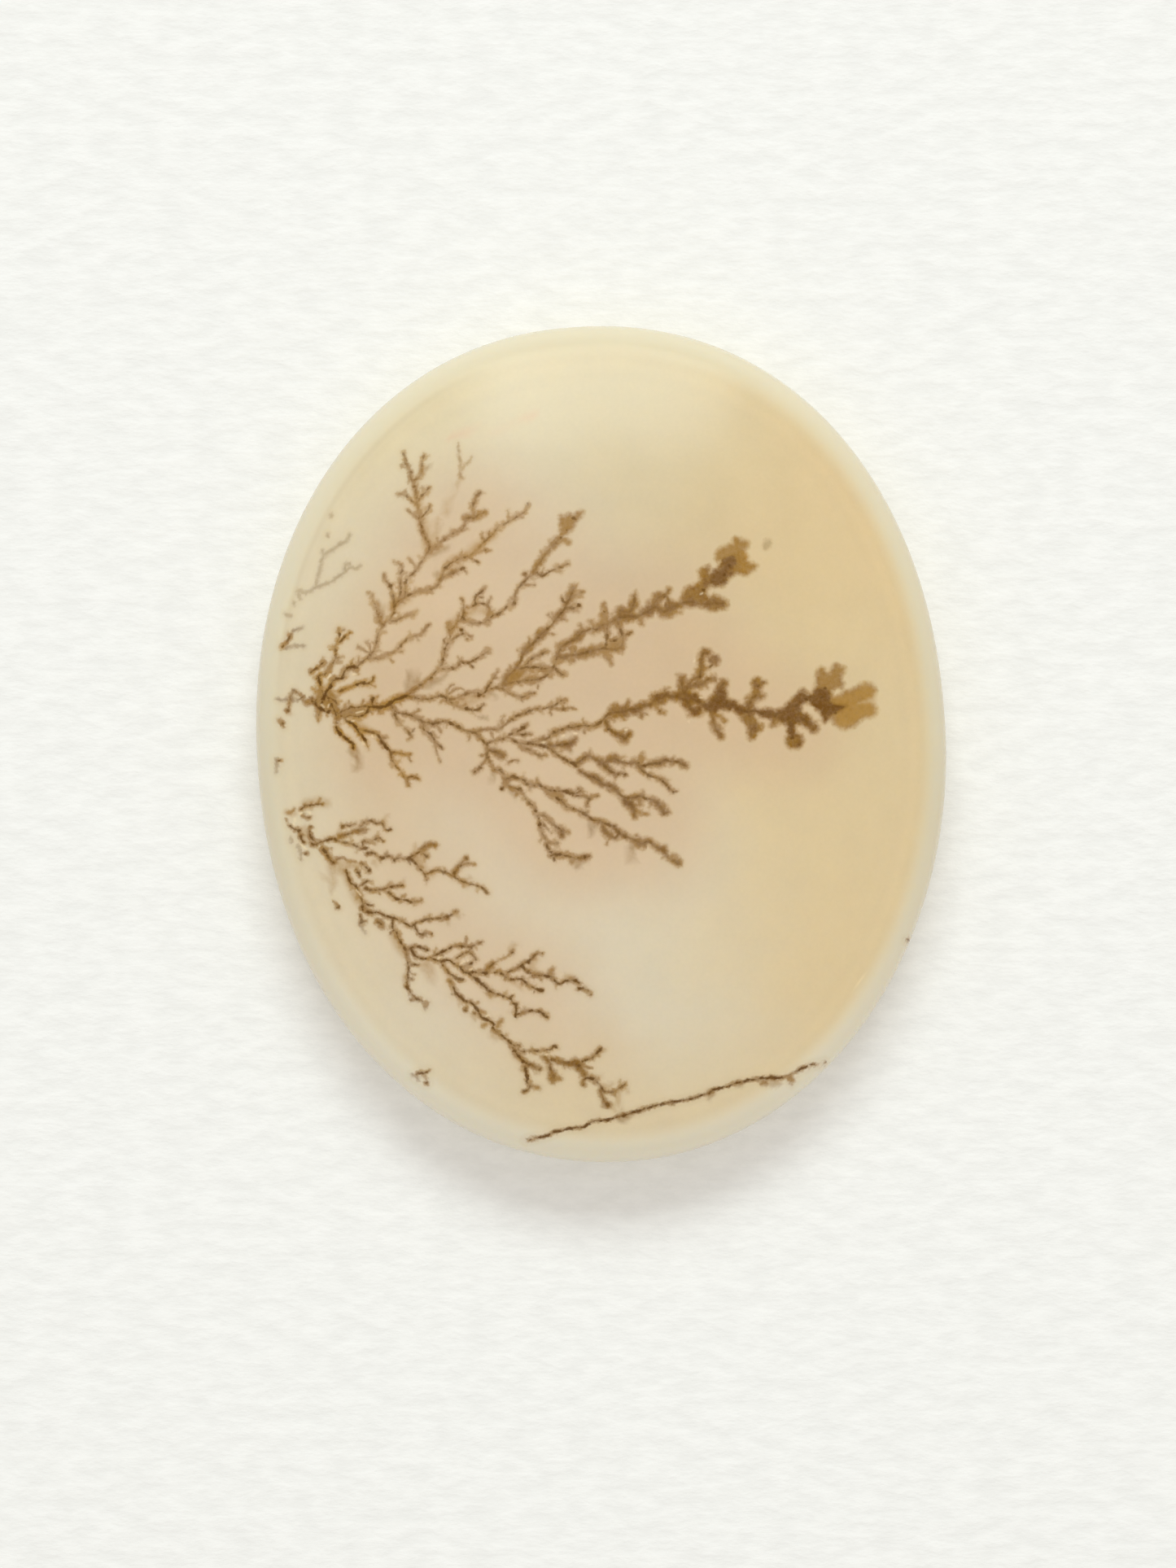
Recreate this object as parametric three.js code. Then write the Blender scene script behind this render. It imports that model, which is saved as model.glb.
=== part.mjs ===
// Dendritic agate cabochon: one polished piece of milky chalcedony with a flat back, a plain
// girdle, a narrow steep rim and a low dome. Millimetres, +Z up, the back resting on Z = 0.
import * as THREE from 'three';

// Driving dimensions in millimetres. Heights are measured from the flat back.
const LENGTH = 22.0;
const WIDTH = 18.12;
const THICKNESS = 4.3;
const BACK_BEVEL_WIDTH = 0.5;
const GIRDLE_BOTTOM = 0.55;
const GIRDLE_TOP = 1.3;
const RIM_WIDTH = 0.5;
const RIM_TOP = 2.25;

// The long axis leans to the left of +Y by this angle in degrees.
const LEAN = 4;

// How full the outline is in each quarter, as the exponent of a superellipse: 2 is an ellipse,
// and more is squarer. The hand-cut stone has fuller shoulders at the upper right.
const FULLNESS = { upperRight: 2.17, upperLeft: 2.1, lowerLeft: 2.1, lowerRight: 2.0 };

// Steps around the stone, and along each curved stretch of its section.
const STEPS_AROUND = 96;
const BEVEL_STEPS = 3;
const RIM_STEPS = 4;
const DOME_STEPS = 11;

// The section is drawn at the narrow side, from the middle of the back out, up and over the dome.
const HALF_WIDTH = WIDTH / 2;

function fullnessAt(across, along) {
  if (along >= 0) return across >= 0 ? FULLNESS.upperRight : FULLNESS.upperLeft;
  return across >= 0 ? FULLNESS.lowerRight : FULLNESS.lowerLeft;
}

// Distance from the stone's middle to its edge in one direction, seen from above.
function outlineRadius(angle) {
  const turned = angle - THREE.MathUtils.degToRad(LEAN);
  const across = Math.cos(turned);
  const along = Math.sin(turned);
  const power = fullnessAt(across, along);
  const reach = Math.abs(across / HALF_WIDTH) ** power + Math.abs(along / (LENGTH / 2)) ** power;
  return reach ** (-1 / power);
}

// A rounded corner between two points, drawn towards the sharp corner that it replaces.
function roundedCorner(start, corner, end, steps) {
  return new THREE.QuadraticBezierCurve(start, corner, end).getPoints(steps);
}

// The dome's arc from the top of the rim to the middle: one circle through both, level on top.
function domeArc(edge, top, steps) {
  const rise = top.y - edge.y;
  const radius = (edge.x ** 2 + rise ** 2) / (2 * rise);
  const sweep = Math.asin(edge.x / radius);
  const points = [];
  for (let step = 1; step < steps; step += 1) {
    const turn = sweep * (1 - step / steps);
    points.push(new THREE.Vector2(radius * Math.sin(turn), top.y - radius * (1 - Math.cos(turn))));
  }
  points.push(top);
  return points;
}

function stoneSection() {
  const backMiddle = new THREE.Vector2(0, 0);
  const backEdge = new THREE.Vector2(HALF_WIDTH - BACK_BEVEL_WIDTH, 0);
  const backCorner = new THREE.Vector2(HALF_WIDTH - BACK_BEVEL_WIDTH / 4, 0);
  const girdleBottom = new THREE.Vector2(HALF_WIDTH, GIRDLE_BOTTOM);
  const girdleTop = new THREE.Vector2(HALF_WIDTH, GIRDLE_TOP);
  const rimCorner = new THREE.Vector2(HALF_WIDTH - RIM_WIDTH / 8, RIM_TOP - RIM_WIDTH / 2);
  const rimTop = new THREE.Vector2(HALF_WIDTH - RIM_WIDTH, RIM_TOP);
  const domeTop = new THREE.Vector2(0, THICKNESS);
  return [
    backMiddle,
    ...roundedCorner(backEdge, backCorner, girdleBottom, BEVEL_STEPS),
    ...roundedCorner(girdleTop, rimCorner, rimTop, RIM_STEPS),
    ...domeArc(rimTop, domeTop, DOME_STEPS),
  ];
}

// The section is spun around the upright axis, then each point moves in or out with the outline.
function stoneGeometry() {
  const geometry = new THREE.LatheGeometry(stoneSection(), STEPS_AROUND);
  geometry.rotateX(Math.PI / 2);
  const points = geometry.attributes.position;
  for (let index = 0; index < points.count; index += 1) {
    const x = points.getX(index);
    const y = points.getY(index);
    const stretch = outlineRadius(Math.atan2(y, x)) / HALF_WIDTH;
    points.setXY(index, x * stretch, y * stretch);
  }
  geometry.computeBoundingBox();
  const middle = geometry.boundingBox.getCenter(new THREE.Vector3());
  geometry.translate(-middle.x, -middle.y, 0);
  geometry.computeVertexNormals();
  return geometry;
}

const agate = new THREE.MeshStandardMaterial({ color: '#d9cba9', roughness: 0.22, metalness: 0 });

const stone = new THREE.Mesh(stoneGeometry(), agate);
stone.name = 'stone';

const group = new THREE.Group();
group.add(stone);

export default group;
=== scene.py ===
# Dendritic agate cabochon: the polished stone with the ferns that grow inside it, lying on paper.
import math
import random

import bpy
import numpy as np
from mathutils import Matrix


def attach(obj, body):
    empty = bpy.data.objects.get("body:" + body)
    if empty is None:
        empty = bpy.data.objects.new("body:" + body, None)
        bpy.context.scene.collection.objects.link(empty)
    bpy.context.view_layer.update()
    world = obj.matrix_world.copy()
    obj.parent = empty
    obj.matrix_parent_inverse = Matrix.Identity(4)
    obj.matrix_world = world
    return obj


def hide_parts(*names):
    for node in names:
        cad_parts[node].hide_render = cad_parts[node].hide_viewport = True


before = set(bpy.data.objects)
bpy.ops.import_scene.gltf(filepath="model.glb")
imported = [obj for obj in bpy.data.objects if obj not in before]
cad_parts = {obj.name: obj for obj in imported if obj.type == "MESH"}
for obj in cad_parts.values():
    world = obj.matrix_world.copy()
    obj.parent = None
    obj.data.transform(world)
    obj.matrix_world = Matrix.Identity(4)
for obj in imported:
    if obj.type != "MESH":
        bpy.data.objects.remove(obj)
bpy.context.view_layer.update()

MM = 0.001

# The stone's own dimensions in millimetres, the same as those of the solid. Its long axis leans
# to the left by LEAN degrees, and FULLNESS says how square each quarter of the outline is.
LENGTH = 22.0
WIDTH = 18.12
THICKNESS = 4.3
BACK_BEVEL_WIDTH = 0.5
GIRDLE_BOTTOM = 0.55
GIRDLE_TOP = 1.3
RIM_WIDTH = 0.5
RIM_TOP = 2.25
LEAN = 4
FULLNESS = {"upper right": 2.17, "upper left": 2.1, "lower left": 2.1, "lower right": 2.0}
SOLID_STEPS = 96
HALF_WIDTH = WIDTH / 2
DOME_EDGE = HALF_WIDTH - RIM_WIDTH

# Cells of the dome before it is refined, and steps along the curved stretches of the side.
CELLS_ACROSS = 76
CELLS_ALONG = 92
RIM_STEPS = 6
BEVEL_STEPS = 5
BACK_RINGS = (0.25, 0.25, 0.25)

# Beyond the edge of a branch, in photo pixels, each round of refinement reaches this far.
REFINE_REACH = (13.0, 5.6, 0.4)

# The photograph: its size and middle in pixels, and its scale at the level that is sharp. The
# camera looks straight down, from this place and height over that level, in millimetres.
PHOTO_SIZE = (1445, 1927)
PHOTO_MIDDLE = (PHOTO_SIZE[0] / 2, PHOTO_SIZE[1] / 2)
PIXELS_PER_MM = 46.58
CAMERA_OVER = (-0.345, -1.048)
CAMERA_HEIGHT = 97.7
SHARP_LEVEL = 1.0
LENS = 85.0
SENSOR = 36.0

# How a branch looks: the stain around it and the dark thread in it. Widths are in photo pixels,
# strengths go from 0 to 1, gold runs from grey brown through deep brown and brown to golden,
# taper is the share of the stain's width that is gone at the tip, and blur is how far its edge
# fades, more for the branches that lie deeper in the stone. Where stains meet, the one with the
# stronger pull gives the colour. Soft looks are hazes that lie under the other stains.
HAIR = dict(stain=5.2, strength=0.62, thread=1.2, dark=0.35, gold=0.56, taper=0.5, blur=3.0)
TWIG = dict(stain=6.8, strength=0.7, thread=2.2, dark=0.6, gold=0.56, taper=0.2, blur=3.6)
STEM = dict(stain=8.2, strength=0.76, thread=2.7, dark=0.66, gold=0.53, taper=0.2, blur=4.0)
TRUNK = dict(stain=11.0, strength=0.84, thread=3.7, dark=0.66, gold=0.56, taper=0.1, blur=4.4)
GHOST = dict(stain=11.5, strength=0.52, gold=0.25, taper=0.6, blur=6.0, soft=True)
MIST = dict(stain=15.0, strength=0.43, gold=0.9, taper=0.3, blur=10.0, soft=True)
GAUZE = dict(stain=10.0, strength=0.36, gold=0.9, taper=0.6, blur=6.0, soft=True)
FAINT = dict(stain=4.8, strength=0.36, thread=1.2, dark=0.14, gold=-0.35, taper=0.2, blur=3.6)
PLUME = dict(stain=10.0, strength=0.88, thread=2.4, dark=0.5, gold=0.44, taper=0.1, blur=5.6)
BODY = dict(stain=13.0, strength=0.94, thread=3.2, dark=0.42, gold=0.41, taper=0.0, blur=6.2)
LOBE = dict(stain=9.6, strength=0.78, thread=0.0, dark=0.0, gold=0.58, taper=0.35, blur=5.0)
AMBER = dict(stain=9.6, strength=0.8, thread=0.0, dark=0.0, gold=0.91, taper=0.1, blur=7.0)
VEIN = dict(stain=4.8, strength=0.62, thread=2.4, dark=0.88, gold=0.5, taper=0.0, blur=2.6)
BOLD = dict(STEM, stain=8.4, strength=0.8, thread=3.4, dark=0.72, gold=0.56, taper=0.3)
CORE = dict(BODY, stain=11.5, strength=0.94, gold=0.31)
BALL = dict(CORE, stain=20.0, thread=0.0, dark=0.0, gold=0.42, swell=0.0)
KNOB = dict(BALL, stain=13.6, strength=0.8, gold=0.34)
HEAD = dict(BODY, thread=0.0, dark=0.0, strength=0.9, gold=0.48)
HEART = dict(CORE, stain=19.0, strength=1.0, gold=0.28, thread=0.0, dark=0.0, pull=6.0)
GLOW = dict(AMBER, stain=15.0, gold=0.84, strength=0.88, pull=3.0)

# The ferns, branch by branch, as points in photo pixels. Short branches of one look share a
# name, each with its own list of points.
ROOT = {
    "left ring": (FAINT, [(361, 849), (357, 855), (358, 861), (364, 861), (370, 859)]),
    "lobes": (LOBE, [(377, 863), (383, 862), (389, 865)], [(396, 856), (390, 851), (385, 847)]),
    "heart": (BOLD, [(395, 860), (397, 856), (399, 852), (403, 848), (407, 843)]),
    "ray up": (TWIG, [(396, 851), (394, 843), (391, 837), (389, 834)]),
    "dark lines": (BOLD, [(391, 833), (393, 838), (394, 845)],
        [(403, 848), (400, 853), (397, 858), (395, 864)],
        [(407, 865), (409, 870), (412, 875), (414, 884)], [(412, 834), (421, 833)],
        [(426, 822), (430, 819), (435, 820)], [(438, 841), (442, 840), (447, 840)],
        [(468, 910), (474, 918), (478, 922)]),
    "ridge dark": (BOLD, [(383, 861), (388, 866), (392, 870), (398, 873), (404, 876)]),
    "ridge": (STEM, [(390, 868), (397, 871), (403, 874), (409, 873), (416, 877)]),
    "thorns": (HAIR, [(407, 863), (407, 870)], [(413, 809), (421, 807)], [(411, 798), (405, 798)],
        [(380, 864), (374, 862), (370, 859), (366, 860)], [(343, 885), (346, 890), (350, 894)],
        [(453, 840), (460, 843)], [(430, 869), (429, 862)], [(444, 869), (446, 861)],
        [(465, 872), (466, 877), (470, 877)], [(449, 910), (451, 915), (453, 921)]),
    "plume foot": (TWIG, [(389, 834), (390, 831), (394, 829), (399, 829)]),
    "plume": (TWIG, [(399, 829), (402, 826), (405, 821), (409, 814), (413, 810), (411, 797), (414, 790),
        (417, 782), (416, 773)]),
    "plume fork": (TWIG, [(416, 790), (424, 782), (430, 778)]),
    "left twig": (TWIG, [(382, 826), (388, 822), (392, 820), (395, 816), (398, 813)]),
    "tail ring": (HAIR, [(373, 857), (366, 852), (361, 849), (357, 855), (356, 862), (355, 868),
        (352, 875)]),
    "thin hazes": (GAUZE, [(358, 855), (355, 866), (352, 876), (357, 878)],
        [(415, 852), (423, 847), (431, 844)]),
    "faint ends": (FAINT, [(341, 859), (346, 861), (351, 859)], [(340, 934), (340, 938), (340, 949)],
        [(352, 796), (365, 793), (374, 794)], [(360, 776), (364, 774), (368, 772), (371, 771)]),
    "crumb": (TWIG, [(342, 935), (344, 935)]),
    "outer twig": (TWIG, [(347, 795), (350, 792), (355, 785), (358, 779)]),
    "stem start": (STEM, [(404, 846), (407, 840), (411, 835), (417, 834), (421, 831), (422, 827),
        (426, 822), (430, 819), (435, 820), (439, 821)]),
    "short": (TWIG, [(417, 850), (423, 847), (431, 844), (440, 840), (446, 840), (453, 840)]),
    "heart left": (TWIG, [(386, 863), (390, 858), (395, 856)]),
    "heart up": (TWIG, [(404, 862), (402, 855), (399, 850)]),
    "heart down": (TWIG, [(394, 872), (391, 880), (391, 885)]),
    "heart low": (TWIG, [(411, 872), (414, 880), (413, 888)]),
    "heart right": (TWIG, [(405, 858), (411, 860), (414, 866)]),
    "short tip": (TWIG, [(452, 840), (457, 838), (459, 833)]),
    "crest": (TWIG, [(430, 868), (436, 870), (443, 869), (447, 867), (453, 869)]),
    "crest foot": (TWIG, [(416, 877), (423, 873), (430, 870)]),
    "crest low": (TWIG, [(419, 880), (424, 882), (429, 879)]),
    "lower line": (STEM, [(429, 879), (437, 881), (446, 879), (451, 875), (454, 869)]),
    "peak": (STEM, [(458, 869), (457, 864), (458, 858)]),
    "trunk": (TRUNK, [(453, 869), (460, 869), (466, 869), (474, 868)]),
    "trunk on": (TRUNK, [(473, 868), (478, 865), (483, 861), (491, 858), (500, 855)]),
    "low stem": (BOLD, [(413, 894), (417, 901), (423, 906), (429, 911), (433, 914), (434, 919)]),
    "low blotch": (GHOST, [(434, 922), (440, 932), (440, 943), (434, 943)]),
    "low middle": (TWIG, [(422, 882), (426, 886), (431, 888)]),
    "low dark": (BOLD, [(430, 888), (436, 891), (440, 898), (444, 904), (449, 910)]),
    "low warm": (MIST, [(437, 889), (443, 894), (449, 898)]),
    "low right": (TWIG, [(440, 896), (447, 898), (453, 899), (463, 901), (466, 905), (470, 912),
        (474, 918), (480, 925)]),
    "low end": (TWIG, [(480, 925), (481, 932), (484, 938), (488, 943), (493, 949), (497, 955),
        (500, 956), (501, 962), (502, 965)]),
    "low fork": (TWIG, [(480, 925), (486, 925), (493, 926), (500, 928), (504, 927)]),
    "low tip": (TWIG, [(501, 956), (506, 954), (510, 955), (514, 957)]),
}

UPPER_LEFT = {
    "stem": (TWIG, [(407, 836), (413, 834), (417, 833), (421, 832), (421, 828), (424, 825), (431, 821),
        (436, 822), (440, 818), (444, 814), (449, 810), (455, 805), (459, 801), (463, 790), (464, 779),
        (468, 773), (471, 768), (475, 764), (479, 762), (481, 757), (484, 753)]),
    "right branch": (TWIG, [(449, 810), (458, 809), (467, 809), (474, 806), (479, 803), (486, 801),
        (490, 796), (494, 791), (499, 786), (505, 783), (512, 781), (518, 780), (522, 773),
        (527, 768)]),
    "thorns": (HAIR, [(488, 801), (495, 801)], [(440, 795), (447, 799), (455, 803)],
        [(451, 789), (455, 793), (455, 803)], [(466, 780), (463, 783), (461, 795)],
        [(440, 816), (441, 807)], [(503, 687), (506, 691), (510, 695), (512, 699)],
        [(493, 573), (499, 575), (502, 577)], [(567, 686), (566, 681), (568, 677)],
        [(587, 679), (593, 677), (597, 676), (603, 677)],
        [(597, 664), (593, 662), (591, 658), (593, 655)], [(610, 649), (616, 652)],
        [(626, 641), (625, 634), (624, 627)]),
    "east twig": (TWIG, [(481, 763), (485, 763), (491, 760), (497, 758), (503, 755), (509, 756)]),
    "west twig": (TWIG, [(470, 769), (466, 765), (465, 758), (463, 752), (462, 747), (460, 741),
        (457, 735), (458, 730)]),
    "deep stains": (GHOST, [(469, 762), (468, 748), (464, 738)], [(518, 580), (527, 573)],
        [(537, 706), (540, 711)]),
    "body": (STEM, [(484, 753), (483, 746), (487, 741), (492, 737), (498, 733), (504, 731), (510, 728),
        (516, 726), (521, 727), (527, 725), (533, 722), (538, 719), (540, 713)]),
    "mists": (MIST, [(482, 746), (492, 740), (502, 735)],
        [(556, 692), (574, 682), (592, 668), (606, 656)]),
    "outer twig": (TWIG, [(484, 741), (484, 735), (481, 725), (480, 720), (477, 717), (473, 712),
        (472, 706)]),
    "middle twig": (TWIG, [(490, 735), (493, 725), (492, 716), (491, 708), (494, 700), (494, 695),
        (489, 692)]),
    "middle loop": (HAIR, [(484, 690), (490, 693), (493, 697), (493, 706), (492, 714)]),
    "rising stem": (TWIG, [(498, 733), (498, 717), (500, 712), (503, 708), (509, 704), (512, 700),
        (514, 697), (517, 692), (521, 686), (524, 681), (527, 678), (528, 672)]),
    "top stem": (TWIG, [(528, 672), (526, 667), (523, 661), (521, 655), (520, 653), (518, 648),
        (517, 644), (517, 638), (515, 634), (514, 628), (513, 622), (512, 615), (512, 609), (511, 603),
        (509, 598), (508, 591), (512, 588), (516, 585), (518, 581), (518, 574), (518, 567),
        (521, 560)]),
    "top mist": (MIST, [(527, 670), (521, 650), (516, 630), (512, 610), (509, 590)]),
    "top right one": (TWIG, [(517, 637), (519, 635), (523, 631), (527, 626), (528, 621)]),
    "top left one": (TWIG, [(515, 637), (510, 634), (505, 630), (501, 627)]),
    "top left two": (TWIG, [(513, 620), (507, 617), (503, 613), (499, 608), (494, 607), (489, 607)]),
    "top right two": (TWIG, [(513, 617), (516, 612), (521, 607), (525, 602), (528, 599)]),
    "crown": (TWIG, [(496, 557), (497, 562), (499, 570), (502, 576), (504, 580), (504, 586),
        (508, 592)]),
    "pale rise": (GAUZE, [(531, 668), (531, 662), (536, 655), (538, 648), (537, 640), (541, 636),
        (547, 633), (549, 625), (552, 618), (555, 612), (558, 604), (561, 598), (563, 592), (566, 589),
        (570, 588)]),
    "pale top": (dict(HAIR, strength=0.5, dark=0.22), [(566, 586), (565, 580), (566, 574), (566, 568),
        (564, 562), (563, 545)]),
    "pale fork": (dict(HAIR, strength=0.45, dark=0.16), [(567, 578), (570, 572), (576, 568),
        (580, 562)]),
    "slant": (TWIG, [(528, 677), (536, 672), (541, 666), (546, 662), (551, 659), (557, 656), (562, 653),
        (567, 651), (570, 648), (572, 642), (573, 637)]),
    "slant end": (PLUME, [(573, 636), (578, 635), (582, 637), (585, 635), (588, 632), (592, 631),
        (595, 630)]),
    "slant top": (STEM, [(583, 632), (581, 627), (581, 621), (584, 615), (586, 609), (588, 607),
        (590, 605)]),
    "slant low": (GHOST, [(530, 680), (536, 678), (541, 676), (546, 674), (551, 672)]),
    "side one": (STEM, [(538, 718), (540, 713), (545, 709), (552, 705), (559, 703), (565, 700),
        (570, 698)]),
    "side two": (TWIG, [(543, 709), (545, 701), (548, 698), (552, 693), (558, 690), (563, 687),
        (567, 685), (572, 685), (577, 683), (582, 680), (587, 675), (591, 670), (597, 664), (602, 660),
        (607, 655), (610, 650), (614, 644), (619, 645), (624, 641), (630, 638), (637, 634), (642, 631),
        (646, 628), (648, 623), (649, 620)]),
    "thorn two": (TWIG, [(575, 683), (581, 688), (588, 691)]),
}

CENTRE = {
    "first": (STEM, [(500, 855), (508, 857), (516, 859), (522, 859), (528, 859), (533, 857), (541, 855),
        (546, 856), (549, 860)]),
    "fan": (dict(GHOST, stain=14, taper=0.2), [(503, 854), (504, 842), (504, 828)]),
    "fan side": (dict(GHOST, stain=13), [(504, 853), (510, 842), (515, 828)]),
    "lift": (HAIR, [(549, 860), (549, 853), (550, 847), (553, 843), (558, 841)]),
    "thorns": (HAIR, [(551, 853), (556, 849), (565, 845), (570, 848)], [(578, 872), (584, 879)],
        [(547, 792), (545, 787), (549, 783)], [(643, 718), (650, 719), (657, 719)],
        [(566, 811), (567, 808)]),
    "second": (TWIG, [(549, 861), (555, 859), (561, 858), (567, 855), (573, 852), (579, 851),
        (585, 851), (589, 854), (594, 852), (598, 848), (606, 846), (612, 844), (617, 842)]),
    "mists": (MIST, [(560, 862), (580, 860), (600, 852)],
        [(556, 770), (566, 756), (584, 748), (600, 752)]),
    "droop": (TWIG, [(549, 861), (554, 864), (561, 867), (567, 870), (573, 871), (579, 872), (584, 873),
        (589, 871), (594, 866)]),
    "droop haze": (FAINT, [(590, 881), (598, 883)]),
    "riser": (TWIG, [(598, 848), (600, 843), (604, 838), (607, 832), (610, 828), (612, 824)]),
    "deep stains": (GHOST, [(598, 850), (606, 853), (611, 857)],
        [(524, 840), (531, 839), (540, 836), (548, 829)]),
    "arch stem": (TWIG, [(500, 856), (506, 850), (512, 845), (517, 842), (520, 841), (524, 836),
        (530, 832), (535, 826), (540, 821), (543, 815), (544, 811), (545, 808), (546, 802), (547, 798),
        (549, 792), (553, 788), (558, 784), (563, 781), (568, 779), (573, 780), (579, 783)]),
    "arch rise": (TWIG, [(553, 788), (553, 778), (551, 770), (552, 765)]),
    "arch fork": (TWIG, [(553, 776), (560, 767), (567, 761), (570, 754)]),
    "arch twig": (TWIG, [(570, 762), (569, 757), (570, 752), (569, 746), (570, 742), (567, 736)]),
    "arch on": (TWIG, [(563, 763), (570, 762), (577, 764), (584, 766), (590, 766), (596, 765),
        (600, 762), (604, 757), (609, 755), (614, 753), (619, 750), (622, 746), (626, 745), (631, 743),
        (633, 738), (632, 733), (634, 728), (636, 724), (641, 718), (646, 713), (650, 709), (655, 706),
        (659, 704)]),
    "arch bow": (TWIG, [(600, 760), (602, 750), (598, 743), (591, 741), (585, 742), (581, 745)]),
    "bow rise": (TWIG, [(584, 741), (584, 735), (586, 731), (590, 729), (594, 725), (596, 722)]),
    "right arm": (TWIG, [(659, 704), (665, 708), (670, 706), (675, 703), (681, 700), (688, 697),
        (692, 695), (698, 693)]),
    "brush stem": (PLUME, [(655, 704), (660, 695), (664, 690), (668, 684), (672, 679), (676, 674),
        (681, 669), (686, 663)]),
    "brush thorn": (LOBE, [(684, 664), (689, 661), (694, 664), (698, 666)]),
    "low side": (TWIG, [(540, 822), (546, 822), (552, 822), (556, 821), (562, 820), (566, 812),
        (569, 814), (574, 815), (578, 817), (581, 820)]),
    "low rise": (TWIG, [(575, 815), (581, 812), (586, 809), (591, 806), (597, 802), (602, 798)]),
}

RIGHT_UPPER = {
    "start": (PLUME, [(617, 842), (620, 838), (623, 832), (627, 828), (631, 825), (635, 820)]),
    "stem": (PLUME, [(635, 820), (639, 814), (641, 808), (643, 803), (646, 799), (650, 795), (655, 791),
        (660, 786), (663, 781), (668, 777), (673, 773), (678, 768), (682, 762), (686, 757), (690, 753),
        (694, 748), (696, 742), (699, 737), (702, 731), (705, 724), (704, 721)]),
    "thorns": (HAIR, [(628, 826), (627, 818)], [(643, 802), (636, 799)], [(650, 793), (650, 784)],
        [(674, 756), (680, 762)], [(640, 857), (642, 862)], [(661, 841), (661, 846)],
        [(706, 797), (708, 804)], [(720, 803), (720, 809)], [(726, 765), (730, 771)]),
    "thorn four": (TWIG, [(690, 735), (694, 741)]),
    "thorn five": (TWIG, [(702, 734), (710, 730), (717, 727)]),
    "thorn six": (TWIG, [(695, 747), (704, 748), (708, 746), (711, 744)]),
    "thorn seven": (TWIG, [(685, 759), (690, 761), (696, 762)]),
    "lower arm": (STEM, [(617, 842), (625, 840), (632, 838), (638, 838), (646, 836), (655, 836),
        (661, 835), (667, 833), (673, 829), (677, 825), (680, 820), (683, 813), (685, 806), (687, 800),
        (690, 795)]),
    "middle arm": (STEM, [(638, 822), (648, 819), (654, 820), (661, 820), (668, 822), (675, 821),
        (680, 819)]),
    "middle fork": (TWIG, [(645, 818), (650, 812), (656, 808), (661, 806), (666, 803), (671, 801)]),
    "middle thorn": (TWIG, [(682, 821), (686, 826), (691, 829), (693, 829)]),
    "under arm": (TWIG, [(608, 846), (613, 845), (620, 848), (627, 852), (633, 855), (640, 857),
        (645, 856), (650, 853), (656, 852)]),
    "arm mist": (MIST, [(630, 832), (650, 828), (668, 826)]),
    "row": (PLUME, [(685, 806), (690, 808), (694, 808), (700, 805), (706, 805), (712, 804), (718, 803),
        (722, 801), (730, 799), (736, 798), (742, 797), (748, 798), (756, 798), (760, 797),
        (764, 796)]),
    "row lobe one": (dict(LOBE, stain=13), [(704, 798), (702, 811)]),
    "lobes": (LOBE, [(744, 799), (749, 811), (751, 815)],
        [(741, 766), (742, 756), (743, 752), (742, 743)], [(786, 758), (788, 764), (789, 767)],
        [(814, 755), (826, 752), (836, 752)]),
    "row dark": (dict(PLUME, stain=12), [(714, 803), (722, 802), (728, 800)]),
    "crown stem": (PLUME, [(690, 795), (696, 791), (702, 788), (709, 784), (713, 779), (716, 776),
        (722, 775), (727, 772), (733, 774), (737, 770), (741, 768), (746, 767), (752, 764), (755, 762),
        (761, 759), (768, 757)]),
    "crown heart": (HEART, [(880, 711), (888, 706), (894, 699), (896, 691)]),
    "crown plume": (BODY, [(768, 757), (774, 757), (780, 758), (786, 757), (791, 753), (796, 752),
        (800, 748), (806, 745), (812, 750), (818, 752), (824, 746), (830, 745), (836, 742), (842, 740),
        (848, 739), (856, 741), (862, 743), (870, 742), (881, 741), (888, 742)]),
    "fall one": (TWIG, [(746, 768), (746, 780), (746, 785), (745, 792)]),
    "ring": (STEM, [(758, 762), (760, 766), (762, 772), (764, 780), (766, 788), (764, 795)]),
    "ring fill": (dict(LOBE, stain=15), [(749, 795), (758, 791), (763, 787)]),
    "ring bar": (TWIG, [(750, 788), (755, 787), (761, 784), (767, 782), (772, 779), (776, 777)]),
    "rise two": (PLUME, [(762, 756), (762, 749), (768, 752), (774, 752), (777, 747), (779, 740),
        (780, 735), (779, 732)]),
    "arch": (PLUME, [(803, 746), (806, 738), (809, 734), (815, 732), (820, 729), (822, 725)]),
    "arch side": (PLUME, [(819, 732), (823, 741), (820, 748)]),
}

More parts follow.
